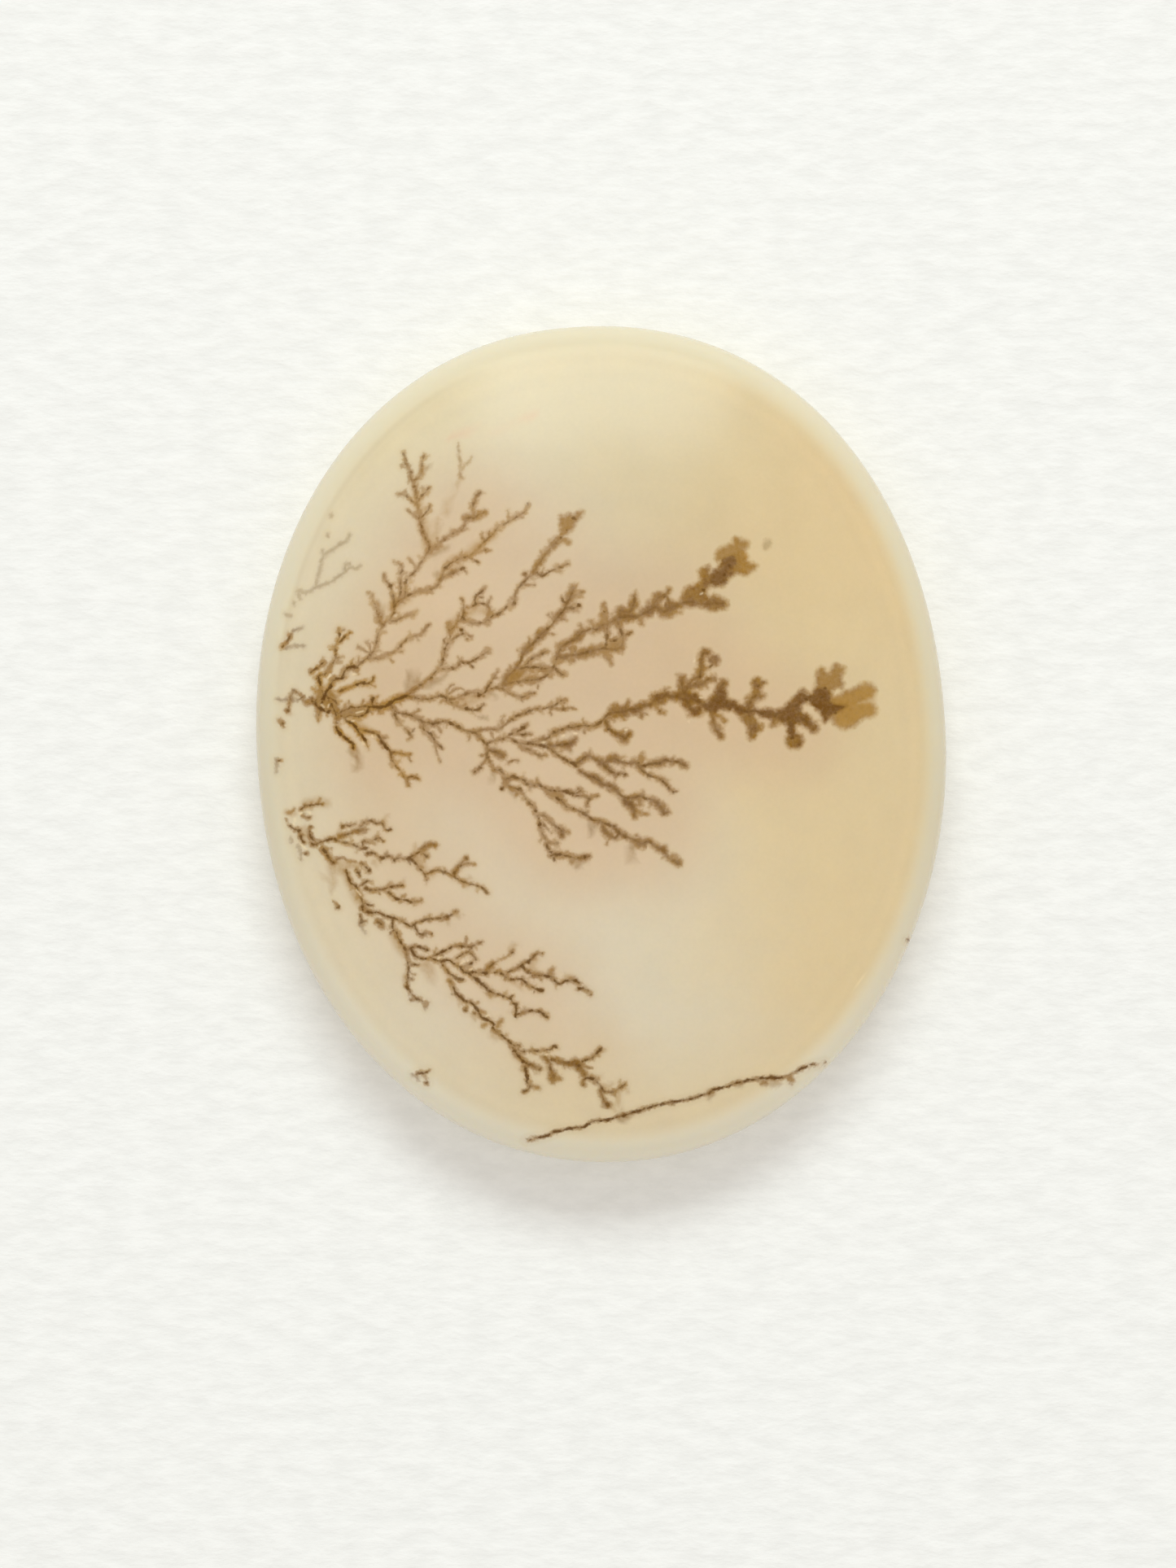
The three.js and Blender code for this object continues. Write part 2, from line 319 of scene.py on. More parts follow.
RIGHT_LOWER = {
    "wing heart": (dict(HEART, stain=16.0, taper=0.5), [(1008, 866), (1016, 869), (1027, 870),
        (1039, 868)]),
    "link": (STEM, [(678, 902), (686, 899), (692, 896), (698, 894), (704, 894), (710, 893), (716, 892),
        (722, 892), (728, 893), (734, 891), (738, 888), (742, 883), (746, 879), (751, 876),
        (756, 875)]),
    "plume": (BODY, [(756, 875), (766, 875), (773, 872), (780, 872), (785, 871), (789, 868), (794, 866),
        (800, 866), (804, 861), (810, 859), (815, 857), (818, 853), (823, 856), (827, 856), (834, 855),
        (840, 853)]),
    "lobes": (LOBE, [(758, 874), (757, 867)], [(772, 872), (772, 862)], [(765, 876), (766, 883)],
        [(804, 864), (808, 871), (812, 874), (816, 876)], [(862, 823), (871, 820)],
        [(877, 879), (883, 879), (890, 886)], [(918, 876), (912, 882)], [(925, 892), (936, 892)],
        [(956, 882), (953, 888), (948, 891)]),
    "thorns": (HAIR, [(719, 892), (716, 884)], [(718, 893), (718, 901)]),
    "spur three": (TWIG, [(804, 860), (801, 854)]),
    "spur four": (TWIG, [(818, 856), (817, 847)]),
    "spur five": (TWIG, [(785, 872), (788, 880)]),
    "drop": (PLUME, [(744, 886), (748, 896), (754, 900), (759, 903), (765, 905), (767, 909), (771, 904),
        (773, 902)]),
    "junction": (BODY, [(836, 857), (840, 850), (846, 856)]),
    "rise": (PLUME, [(840, 852), (838, 844), (838, 836), (839, 833)]),
    "arm": (PLUME, [(842, 849), (846, 844), (855, 841), (862, 841), (867, 837), (870, 835),
        (878, 834)]),
    "arm top": (PLUME, [(846, 842), (852, 834), (860, 832), (861, 826), (862, 821), (862, 815),
        (862, 809), (864, 802), (869, 803)]),
    "knob": (KNOB, [(876.5, 811), (878, 811.5)]),
    "knob foot": (TWIG, [(876, 816), (872, 820)]),
    "down": (BODY, [(842, 857), (846, 866), (849, 871), (853, 875), (857, 873)]),
    "bridge": (BODY, [(850, 858), (858, 862), (866, 868), (872, 870), (876, 862), (880, 856)]),
    "finger": (PLUME, [(880, 858), (882, 849), (886, 843), (889, 840)]),
    "on": (CORE, [(876, 861), (885, 862), (894, 867), (902, 866), (907, 872), (918, 875), (928, 873),
        (936, 877), (945, 877), (952, 879), (959, 876)]),
    "foot": (PLUME, [(872, 872), (876, 879), (877, 889), (880, 897), (886, 905)]),
    "post": (PLUME, [(919, 873), (921, 866), (924, 859), (929, 855)]),
    "post low": (PLUME, [(920, 876), (922, 886), (923, 904)]),
    "stalk": (dict(CORE, stain=9), [(971, 888), (972, 897), (974, 904)]),
    "ball": (BALL, [(975.5, 910), (977, 910)]),
    "claw": (BODY, [(984, 882), (990, 886), (996, 891), (1000, 895)]),
    "lone dot": (dict(FAINT, stain=7), [(941, 672), (944, 667)]),
}

LOWER_RIGHT = {
    "stem": (STEM, [(481, 868), (484, 873), (490, 876), (497, 877), (501, 878), (507, 880), (515, 884),
        (521, 888), (527, 888), (532, 890), (538, 888), (543, 887), (548, 887), (554, 889), (560, 892),
        (563, 893), (566, 895), (572, 898), (578, 900), (584, 900)]),
    "twig one": (TWIG, [(484, 876), (487, 883), (492, 889), (498, 895), (503, 901), (506, 905)]),
    "thorns": (HAIR, [(504, 902), (509, 896)], [(534, 912), (536, 922), (538, 929), (541, 936)],
        [(536, 890), (542, 900)], [(577, 901), (576, 910)], [(618, 891), (617, 882), (620, 880)],
        [(675, 869), (677, 878)], [(827, 974), (832, 972)]),
    "twig three": (TWIG, [(521, 890), (520, 897), (526, 900), (530, 903), (534, 909), (537, 915),
        (543, 919)]),
    "upper": (TWIG, [(584, 900), (590, 898), (596, 896), (602, 896), (608, 897), (613, 896), (619, 892),
        (623, 888), (629, 884), (633, 881), (639, 878), (646, 876), (650, 874), (656, 871), (662, 871),
        (668, 871), (674, 869), (680, 868), (685, 864), (690, 861), (695, 860)]),
    "upper end": (HAIR, [(678, 870), (684, 871), (692, 871), (700, 870), (708, 872)]),
    "lower": (STEM, [(584, 900), (590, 907), (594, 912), (598, 915)]),
    "long": (TWIG, [(596, 914), (606, 911), (612, 909), (618, 908), (622, 906), (627, 903), (633, 900),
        (639, 898), (643, 894), (648, 890)]),
    "long fork": (TWIG, [(632, 901), (642, 903), (648, 902), (653, 903)]),
    "return": (TWIG, [(622, 906), (628, 907), (633, 911), (638, 913), (645, 914), (652, 913),
        (658, 911), (664, 909), (668, 907)]),
    "under": (TWIG, [(638, 913), (641, 918), (647, 921), (653, 922), (659, 927), (665, 929),
        (671, 928)]),
    "bow": (TWIG, [(666, 909), (674, 908), (677, 902), (681, 900)]),
    "trunk": (STEM, [(645, 914), (655, 914), (664, 916), (672, 918), (678, 921), (686, 929), (694, 933),
        (698, 936), (705, 938), (709, 942)]),
    "gold band": (PLUME, [(674, 915), (680, 917), (688, 915), (697, 915), (702, 913), (707, 908)]),
    "deep stains": (GHOST, [(697, 918), (702, 925)], [(607, 948), (606, 954), (605, 960)]),
    "down": (TWIG, [(598, 915), (598, 922), (598, 928), (599, 931)]),
    "down left": (TWIG, [(599, 931), (593, 938), (590, 943), (586, 946), (583, 949)]),
    "down right": (TWIG, [(599, 932), (602, 936), (605, 942), (607, 946), (614, 946), (616, 948),
        (620, 953), (622, 957)]),
    "blob one": (PLUME, [(601, 922), (607, 923), (613, 926), (617, 928)]),
    "blob two": (TWIG, [(625, 937), (631, 934), (637, 935)]),
    "arc": (PLUME, [(708, 938), (714, 935), (719, 930), (725, 929), (731, 933), (736, 935), (741, 939),
        (748, 946), (753, 950), (757, 952)]),
    "arc end": (TWIG, [(757, 952), (764, 950), (768, 952)]),
    "over": (PLUME, [(741, 938), (746, 936), (753, 931), (758, 934), (765, 937), (772, 938), (782, 937),
        (787, 942), (793, 941), (800, 938), (811, 938), (817, 934), (825, 936), (834, 936), (838, 939),
        (842, 941)]),
    "lobes": (LOBE, [(786, 936), (789, 928)], [(786, 981), (787, 989)],
        [(780, 998), (790, 1000), (795, 1000)]),
    "over low": (STEM, [(784, 941), (791, 949), (797, 952), (804, 955), (811, 957), (817, 962),
        (821, 967), (827, 973)]),
    "third": (PLUME, [(713, 948), (719, 952), (729, 955), (736, 959), (741, 965), (748, 965),
        (752, 967), (758, 972), (763, 978), (770, 981)]),
    "third end": (PLUME, [(770, 981), (781, 980), (789, 978), (791, 981), (801, 983), (808, 987),
        (813, 994), (816, 1000), (820, 998)]),
    "thick": (BODY, [(767, 983), (772, 988), (777, 990), (779, 997), (780, 1003)]),
}

LOW_FAN = {
    "first": (STEM, [(622, 957), (625, 957), (630, 954), (636, 957), (642, 958), (647, 963), (651, 964),
        (656, 965), (661, 963), (666, 966), (671, 970), (676, 972), (682, 972), (688, 972), (698, 973),
        (705, 976), (714, 972)]),
    "first end": (TWIG, [(704, 977), (710, 978), (718, 978), (724, 982), (728, 980), (734, 978)]),
    "first spike": (TWIG, [(724, 982), (721, 990)]),
    "lobes": (LOBE, [(672, 972), (680, 978), (690, 982)], [(822, 1055), (829, 1052)],
        [(622, 961), (618, 969)], [(692, 1023), (698, 1023)]),
    "second": (STEM, [(684, 980), (691, 985), (695, 991), (701, 993), (710, 996), (718, 1000),
        (724, 1004), (729, 1008), (735, 1008), (739, 1011), (746, 1013), (752, 1015)]),
    "deep stains": (GHOST, [(727, 1010), (728, 1018), (725, 1027)], [(732, 1011), (728, 1020)],
        [(816, 1044), (818, 1040)], [(777, 1036), (776, 1047), (777, 1056)], [(630, 971), (633, 979)],
        [(712, 1057), (708, 1066)], [(717, 1055), (712, 1062)]),
    "loop": (PLUME, [(740, 1012), (741, 1018), (746, 1024), (752, 1029), (757, 1030), (760, 1026)]),
    "third": (PLUME, [(752, 1015), (758, 1021), (765, 1027), (771, 1029), (779, 1032), (783, 1034),
        (789, 1038), (796, 1033), (803, 1038), (808, 1042), (815, 1044), (819, 1051), (822, 1055),
        (828, 1058), (833, 1060)]),
    "fall": (TWIG, [(618, 955), (620, 957), (624, 964), (628, 968), (634, 970), (638, 970), (643, 975),
        (645, 981), (650, 986), (655, 990), (658, 994), (658, 997), (660, 1001), (662, 1007),
        (663, 1013), (664, 1018), (666, 1023), (669, 1029), (671, 1035), (673, 1041), (676, 1047),
        (679, 1052), (682, 1058)]),
    "fall right": (TWIG, [(662, 1001), (668, 1002), (672, 1005), (676, 1010), (680, 1013), (686, 1018),
        (691, 1022)]),
    "right blob": (PLUME, [(690, 1022), (691, 1027)]),
    "rung one": (HAIR, [(668, 1014), (675, 1021), (678, 1024)]),
    "rung two": (TWIG, [(671, 1036), (674, 1036), (682, 1036), (686, 1036)]),
    "end right": (STEM, [(677, 1051), (683, 1050), (688, 1050), (697, 1052), (706, 1055), (712, 1055),
        (718, 1054), (724, 1052)]),
}

FAINT_FERN = {
    "stem": (FAINT, [(376, 728), (380, 727), (384, 724), (388, 721), (392, 720), (397, 719), (402, 717),
        (408, 714), (413, 711), (418, 707), (422, 704), (427, 699), (431, 697), (437, 699),
        (442, 695)]),
    "faint ends": (FAINT, [(424, 700), (425, 692), (430, 693)],
        [(376, 729), (366, 725), (367, 732), (369, 735)], [(403, 657), (403, 659)],
        [(407, 633), (407, 635)], [(361, 741), (361, 743)], [(352, 755), (357, 757)]),
    "rise": (FAINT, [(389, 717), (390, 710), (392, 703), (394, 697), (394, 690), (398, 683),
        (396, 677)]),
    "east": (FAINT, [(398, 681), (407, 677), (412, 673), (417, 669), (421, 667), (425, 666), (428, 661),
        (430, 656)]),
}

LOWER_LEFT = {
    "thorns": (HAIR, [(354, 999), (358, 998), (362, 994)], [(391, 988), (393, 981)],
        [(352, 1007), (352, 1011)], [(446, 1021), (452, 1019)], [(565, 1063), (570, 1058), (573, 1055)],
        [(401, 1046), (407, 1042)], [(413, 1056), (421, 1053), (427, 1058), (437, 1059)],
        [(410, 1108), (414, 1112), (415, 1115)], [(374, 1048), (377, 1049)], [(497, 1105), (498, 1100)],
        [(527, 1129), (528, 1124)], [(511, 1228), (504, 1229)], [(502, 1193), (505, 1197), (510, 1198)],
        [(571, 1163), (573, 1157), (573, 1151)], [(560, 1221), (555, 1222)], [(584, 1235), (588, 1231)],
        [(657, 1215), (656, 1220)], [(654, 1291), (654, 1287)], [(720, 1311), (728, 1313)],
        [(522, 1320), (524, 1327), (524, 1331)]),
    "thin hazes": (GAUZE, [(352, 998), (362, 1002), (361, 994)],
        [(412, 1030), (416, 1026), (418, 1019), (421, 1015)], [(471, 1011), (473, 1005), (476, 1002)],
        [(510, 1048), (510, 1037)], [(568, 1083), (574, 1081), (579, 1078)], [(571, 1084), (573, 1090)],
        [(408, 1063), (408, 1071), (402, 1078), (398, 1084)], [(460, 1060), (463, 1065)],
        [(406, 1077), (400, 1081), (398, 1084)], [(411, 1083), (408, 1090), (407, 1098)],
        [(494, 1088), (496, 1082)], [(479, 1090), (481, 1085)], [(559, 1122), (563, 1127), (569, 1125)],
        [(549, 1129), (551, 1136)], [(498, 1200), (498, 1208), (502, 1217)], [(526, 1180), (526, 1189)],
        [(629, 1166), (630, 1162), (637, 1160)], [(546, 1188), (550, 1196), (553, 1206)],
        [(567, 1229), (563, 1237)], [(583, 1249), (583, 1255)], [(607, 1268), (605, 1276), (616, 1275)],
        [(629, 1206), (635, 1210), (640, 1215)], [(656, 1175), (658, 1182), (656, 1188), (660, 1193)],
        [(697, 1201), (704, 1202), (710, 1210), (711, 1215)], [(643, 1312), (639, 1314)],
        [(737, 1291), (744, 1291)], [(716, 1329), (718, 1336)], [(728, 1324), (737, 1323)],
        [(741, 1336), (748, 1335), (753, 1332)], [(763, 1337), (768, 1334), (772, 1343)],
        [(751, 1358), (757, 1366)], [(758, 1341), (760, 1350), (759, 1357), (764, 1362)]),
    "first": (TWIG, [(369, 995), (373, 992), (376, 990), (384, 990), (390, 988), (397, 988)]),
    "mists": (MIST, [(378, 988), (390, 985), (401, 987)], [(374, 1021), (374, 1031), (384, 1036)],
        [(512, 1054), (517, 1062), (524, 1074), (530, 1074)], [(414, 1062), (426, 1063), (438, 1064)],
        [(433, 1090), (438, 1100), (444, 1112), (450, 1119)], [(486, 1152), (489, 1162), (496, 1170)],
        [(524, 1188), (528, 1195), (531, 1202)], [(634, 1292), (641, 1302), (648, 1310)]),
    "comma": (TWIG, [(372, 1003), (377, 1005), (381, 1004)]),
    "outer": (TWIG, [(356, 1015), (361, 1019), (367, 1021), (369, 1028), (371, 1033), (374, 1035)]),
    "inner": (TWIG, [(381, 1017), (380, 1022), (382, 1029), (385, 1032), (387, 1034)]),
    "hub": (STEM, [(383, 1037), (387, 1038), (391, 1036), (400, 1033), (406, 1031), (411, 1031),
        (414, 1033)]),
    "long": (TWIG, [(414, 1033), (425, 1036), (434, 1038), (440, 1041), (444, 1044), (448, 1042),
        (451, 1042)]),
    "upper one": (TWIG, [(420, 1016), (423, 1014), (430, 1015), (437, 1012)]),
    "upper two": (TWIG, [(443, 1015), (448, 1011), (455, 1008), (462, 1012), (466, 1012), (470, 1011),
        (472, 1018), (476, 1021), (480, 1019)]),
    "middle": (PLUME, [(418, 1028), (424, 1026), (431, 1024), (439, 1021), (446, 1020)]),
    "fork": (TWIG, [(446, 1040), (446, 1034), (450, 1035), (455, 1035), (460, 1032), (466, 1030),
        (471, 1034)]),
    "chain": (TWIG, [(451, 1049), (459, 1048), (463, 1052), (469, 1055), (476, 1052), (480, 1052),
        (484, 1057), (490, 1054), (496, 1055), (501, 1056), (507, 1052), (513, 1049), (517, 1044),
        (522, 1040)]),
    "chain head": (PLUME, [(518, 1046), (524, 1040), (530, 1038), (535, 1039)]),
    "chain low": (TWIG, [(517, 1046), (521, 1050), (524, 1053)]),
    "bow": (TWIG, [(506, 1056), (511, 1061), (515, 1067), (520, 1072), (525, 1081)]),
    "east": (TWIG, [(525, 1074), (532, 1070), (539, 1069), (546, 1072), (553, 1075), (560, 1079),
        (567, 1083), (574, 1085), (580, 1087), (588, 1089), (594, 1092), (599, 1098)]),
    "east fan": (GAUZE, [(557, 1074), (561, 1067), (565, 1061), (569, 1055), (573, 1051)]),
    "east fan two": (PLUME, [(558, 1073), (563, 1066), (568, 1063)]),
    "east fan end": (TWIG, [(563, 1066), (568, 1063), (575, 1061), (583, 1062)]),
    "trunk": (TRUNK, [(397, 1044), (401, 1048), (404, 1055), (407, 1058), (410, 1060)]),
    "trunk mist": (MIST, [(409, 1060), (410, 1069), (418, 1069), (425, 1074), (430, 1086)]),
    "trunk on": (STEM, [(425, 1070), (427, 1074), (428, 1080), (431, 1085), (435, 1088), (439, 1091)]),
    "shelf end": (TWIG, [(444, 1061), (447, 1063), (451, 1067), (453, 1070)]),
    "stub": (TWIG, [(438, 1069), (440, 1072), (442, 1077)]),
    "faint ends": (FAINT, [(367, 1040), (369, 1049), (370, 1057)], [(357, 1031), (358, 1034)],
        [(443, 1138), (446, 1142), (449, 1147)], [(506, 1321), (512, 1324), (514, 1327)]),
    "rib one": (TWIG, [(439, 1091), (445, 1087), (451, 1083), (456, 1083)]),
    "rib two": (STEM, [(448, 1092), (454, 1094), (463, 1094), (472, 1093), (479, 1090), (488, 1089),
        (494, 1088)]),
    "rib three": (STEM, [(477, 1096), (482, 1101), (488, 1105), (496, 1106), (501, 1107), (506, 1109),
        (512, 1108), (517, 1107)]),
    "spine": (TWIG, [(439, 1092), (441, 1098), (444, 1105), (446, 1109), (445, 1115)]),
    "spine thorn": (TWIG, [(447, 1109), (452, 1112), (458, 1113)]),
    "spine on": (STEM, [(446, 1118), (452, 1121), (458, 1122), (464, 1121), (470, 1124), (476, 1127),
        (483, 1128), (488, 1130), (493, 1132), (499, 1136), (505, 1139), (509, 1138)]),
    "drop": (TWIG, [(443, 1124), (444, 1129), (444, 1134), (450, 1132)]),
    "seed": (TRUNK, [(464, 1132), (467, 1134), (469, 1137)]),
    "north rib": (TWIG, [(507, 1138), (512, 1134), (520, 1131), (527, 1129), (537, 1129), (549, 1127),
        (557, 1123), (560, 1119)]),
    "south rib": (TWIG, [(509, 1139), (512, 1143), (514, 1147), (518, 1149), (524, 1147), (530, 1148)]),
    "stalk": (STEM, [(482, 1130), (482, 1139), (485, 1144), (488, 1147), (488, 1151), (491, 1155),
        (494, 1160), (498, 1166)]),
    "stalk foot": (TWIG, [(484, 1143), (480, 1147)]),
    "thread": (TWIG, [(499, 1167), (500, 1174), (501, 1182), (502, 1191), (501, 1201), (500, 1211),
        (503, 1218), (507, 1223), (511, 1227), (517, 1229), (523, 1234)]),
    "barb one": (TWIG, [(502, 1179), (504, 1183), (507, 1185), (514, 1186)]),
    "first arc": (STEM, [(500, 1167), (504, 1166), (509, 1163), (516, 1164), (521, 1166), (525, 1168)]),
    "second arc": (STEM, [(505, 1168), (508, 1172), (511, 1176), (519, 1178), (527, 1178), (533, 1175),
        (541, 1171), (550, 1167), (558, 1162), (570, 1163)]),
    "star bar": (TWIG, [(570, 1163), (578, 1164), (585, 1160), (592, 1158)]),
    "star low": (TWIG, [(580, 1163), (577, 1168), (575, 1170)]),
    "star back": (TWIG, [(576, 1169), (568, 1173), (560, 1178)]),
    "star foot": (TWIG, [(577, 1170), (581, 1174), (585, 1180)]),
    "third arc": (STEM, [(530, 1178), (536, 1180), (542, 1182), (547, 1180), (552, 1180), (556, 1183),
        (560, 1186), (567, 1189), (574, 1187), (580, 1183)]),
    "crossing": (STEM, [(565, 1188), (570, 1195), (577, 1195), (583, 1195), (590, 1196), (597, 1196)]),
    "north finger": (PLUME, [(597, 1196), (600, 1191), (602, 1188), (606, 1184)]),
    "north finger on": (HAIR, [(606, 1184), (615, 1179), (622, 1176), (627, 1172), (630, 1166)]),
    "south run": (STEM, [(574, 1194), (581, 1200), (587, 1205), (591, 1209), (595, 1212), (602, 1218),
        (609, 1222), (616, 1223), (626, 1227)]),
    "lobes": (LOBE, [(601, 1220), (603, 1225)], [(588, 1242), (595, 1245)], [(594, 1260), (597, 1258)],
        [(611, 1261), (614, 1257), (616, 1253)], [(676, 1198), (679, 1191)],
        [(651, 1334), (657, 1336), (662, 1337)], [(683, 1325), (688, 1325)]),
    "south hook": (TWIG, [(626, 1227), (630, 1223)]),
    "south end": (STEM, [(627, 1227), (630, 1232), (634, 1235), (634, 1242), (634, 1249)]),
    "south arm": (STEM, [(634, 1248), (641, 1245), (649, 1242), (657, 1243), (665, 1243), (668, 1247),
        (672, 1250)]),
    "back run": (TWIG, [(544, 1186), (548, 1191), (553, 1197), (560, 1202), (564, 1204), (569, 1204)]),
    "deep run": (STEM, [(553, 1206), (557, 1213), (560, 1220), (566, 1226), (572, 1231), (579, 1232),
        (584, 1237), (588, 1243)]),
    "deep dot": (TWIG, [(573, 1239), (572, 1243)]),
    "deep on": (STEM, [(588, 1243), (591, 1250), (598, 1253), (604, 1256), (607, 1259)]),
    "deep tail": (STEM, [(606, 1264), (611, 1268), (617, 1273), (624, 1279), (630, 1285), (638, 1285)]),
    "upper comb": (STEM, [(608, 1195), (613, 1194), (617, 1197), (623, 1201), (627, 1204),
        (632, 1204)]),
    "upper comb on": (STEM, [(635, 1203), (641, 1203), (645, 1207), (649, 1211), (655, 1214),
        (662, 1217), (667, 1217)]),
    "comb rise": (STEM, [(622, 1200), (625, 1194), (634, 1191), (640, 1187), (644, 1183)]),
    "comb head": (TWIG, [(644, 1183), (649, 1181), (654, 1177), (657, 1174), (661, 1171), (666, 1172)]),
    "comb bar": (TWIG, [(642, 1188), (646, 1193), (652, 1196)]),
    "comb run": (STEM, [(654, 1199), (661, 1199), (668, 1199), (675, 1200), (680, 1202)]),
    "comb end": (STEM, [(679, 1201), (683, 1207), (688, 1209), (693, 1206), (701, 1205), (707, 1205),
        (711, 1208)]),
    "comb tip": (STEM, [(711, 1215), (716, 1215), (722, 1217), (726, 1222)]),
    "south trunk": (STEM, [(630, 1287), (632, 1291), (636, 1297), (640, 1301), (644, 1305),
        (649, 1308)]),
    "south fork": (PLUME, [(648, 1309), (653, 1309), (658, 1312), (663, 1314)]),
    "south bar": (TWIG, [(640, 1292), (650, 1292), (661, 1292), (669, 1291), (677, 1290), (680, 1285),
        (684, 1287)]),
    "south drop": (STEM, [(645, 1311), (646, 1318), (648, 1325), (647, 1330), (651, 1334)]),
    "south drop foot": (TWIG, [(651, 1335), (649, 1340), (643, 1342)]),
    "post": (PLUME, [(669, 1299), (674, 1304), (676, 1312), (678, 1318)]),
    "post bud": (BODY, [(679, 1321), (680, 1325)]),
    "bridge": (PLUME, [(678, 1302), (684, 1303), (690, 1306), (698, 1307)]),
    "arm": (STEM, [(716, 1304), (721, 1302), (727, 1300), (733, 1295), (738, 1289)]),
    "neck": (PLUME, [(714, 1312), (715, 1317), (719, 1322)]),
    "hoop": (STEM, [(717, 1333), (716, 1328), (719, 1325), (724, 1324), (730, 1327), (735, 1331),
        (738, 1335), (740, 1338)]),
    "last": (TWIG, [(739, 1338), (741, 1341), (748, 1342), (754, 1342), (762, 1337), (768, 1332)]),
    "last leg": (PLUME, [(738, 1340), (740, 1347), (743, 1353)]),
    "last bud": (BODY, [(744, 1357), (747, 1358)]),
    "speck": (TWIG, [(512, 1321), (516, 1318), (521, 1320), (527, 1316)]),
}

VEINS = {
    "seam": (VEIN, [(645, 1402), (651, 1400), (661, 1398), (670, 1397), (681, 1391), (691, 1389),
        (701, 1387), (709, 1386), (717, 1386), (723, 1381), (730, 1377), (739, 1377), (747, 1377),
        (757, 1373), (767, 1371), (775, 1368), (784, 1366), (792, 1363), (802, 1360), (812, 1357),
        (822, 1355), (833, 1353), (842, 1352), (850, 1350), (860, 1347), (864, 1345), (870, 1345),
        (877, 1339), (886, 1337), (895, 1335), (901, 1332), (909, 1330), (919, 1328), (927, 1327),
        (937, 1325), (945, 1325), (956, 1325), (964, 1324), (971, 1321), (980, 1316), (988, 1312),
        (997, 1309), (1004, 1307), (1008, 1308), (1014, 1306)]),
    "deep stains": (GHOST, [(764, 1373), (772, 1372), (778, 1369)], [(873, 1344), (871, 1350)],
        [(908, 1332), (911, 1334)], [(950, 1330), (957, 1332)]),
    "lobes": (LOBE, [(938, 1330), (941, 1332)], [(970, 1324), (973, 1330)]),
}

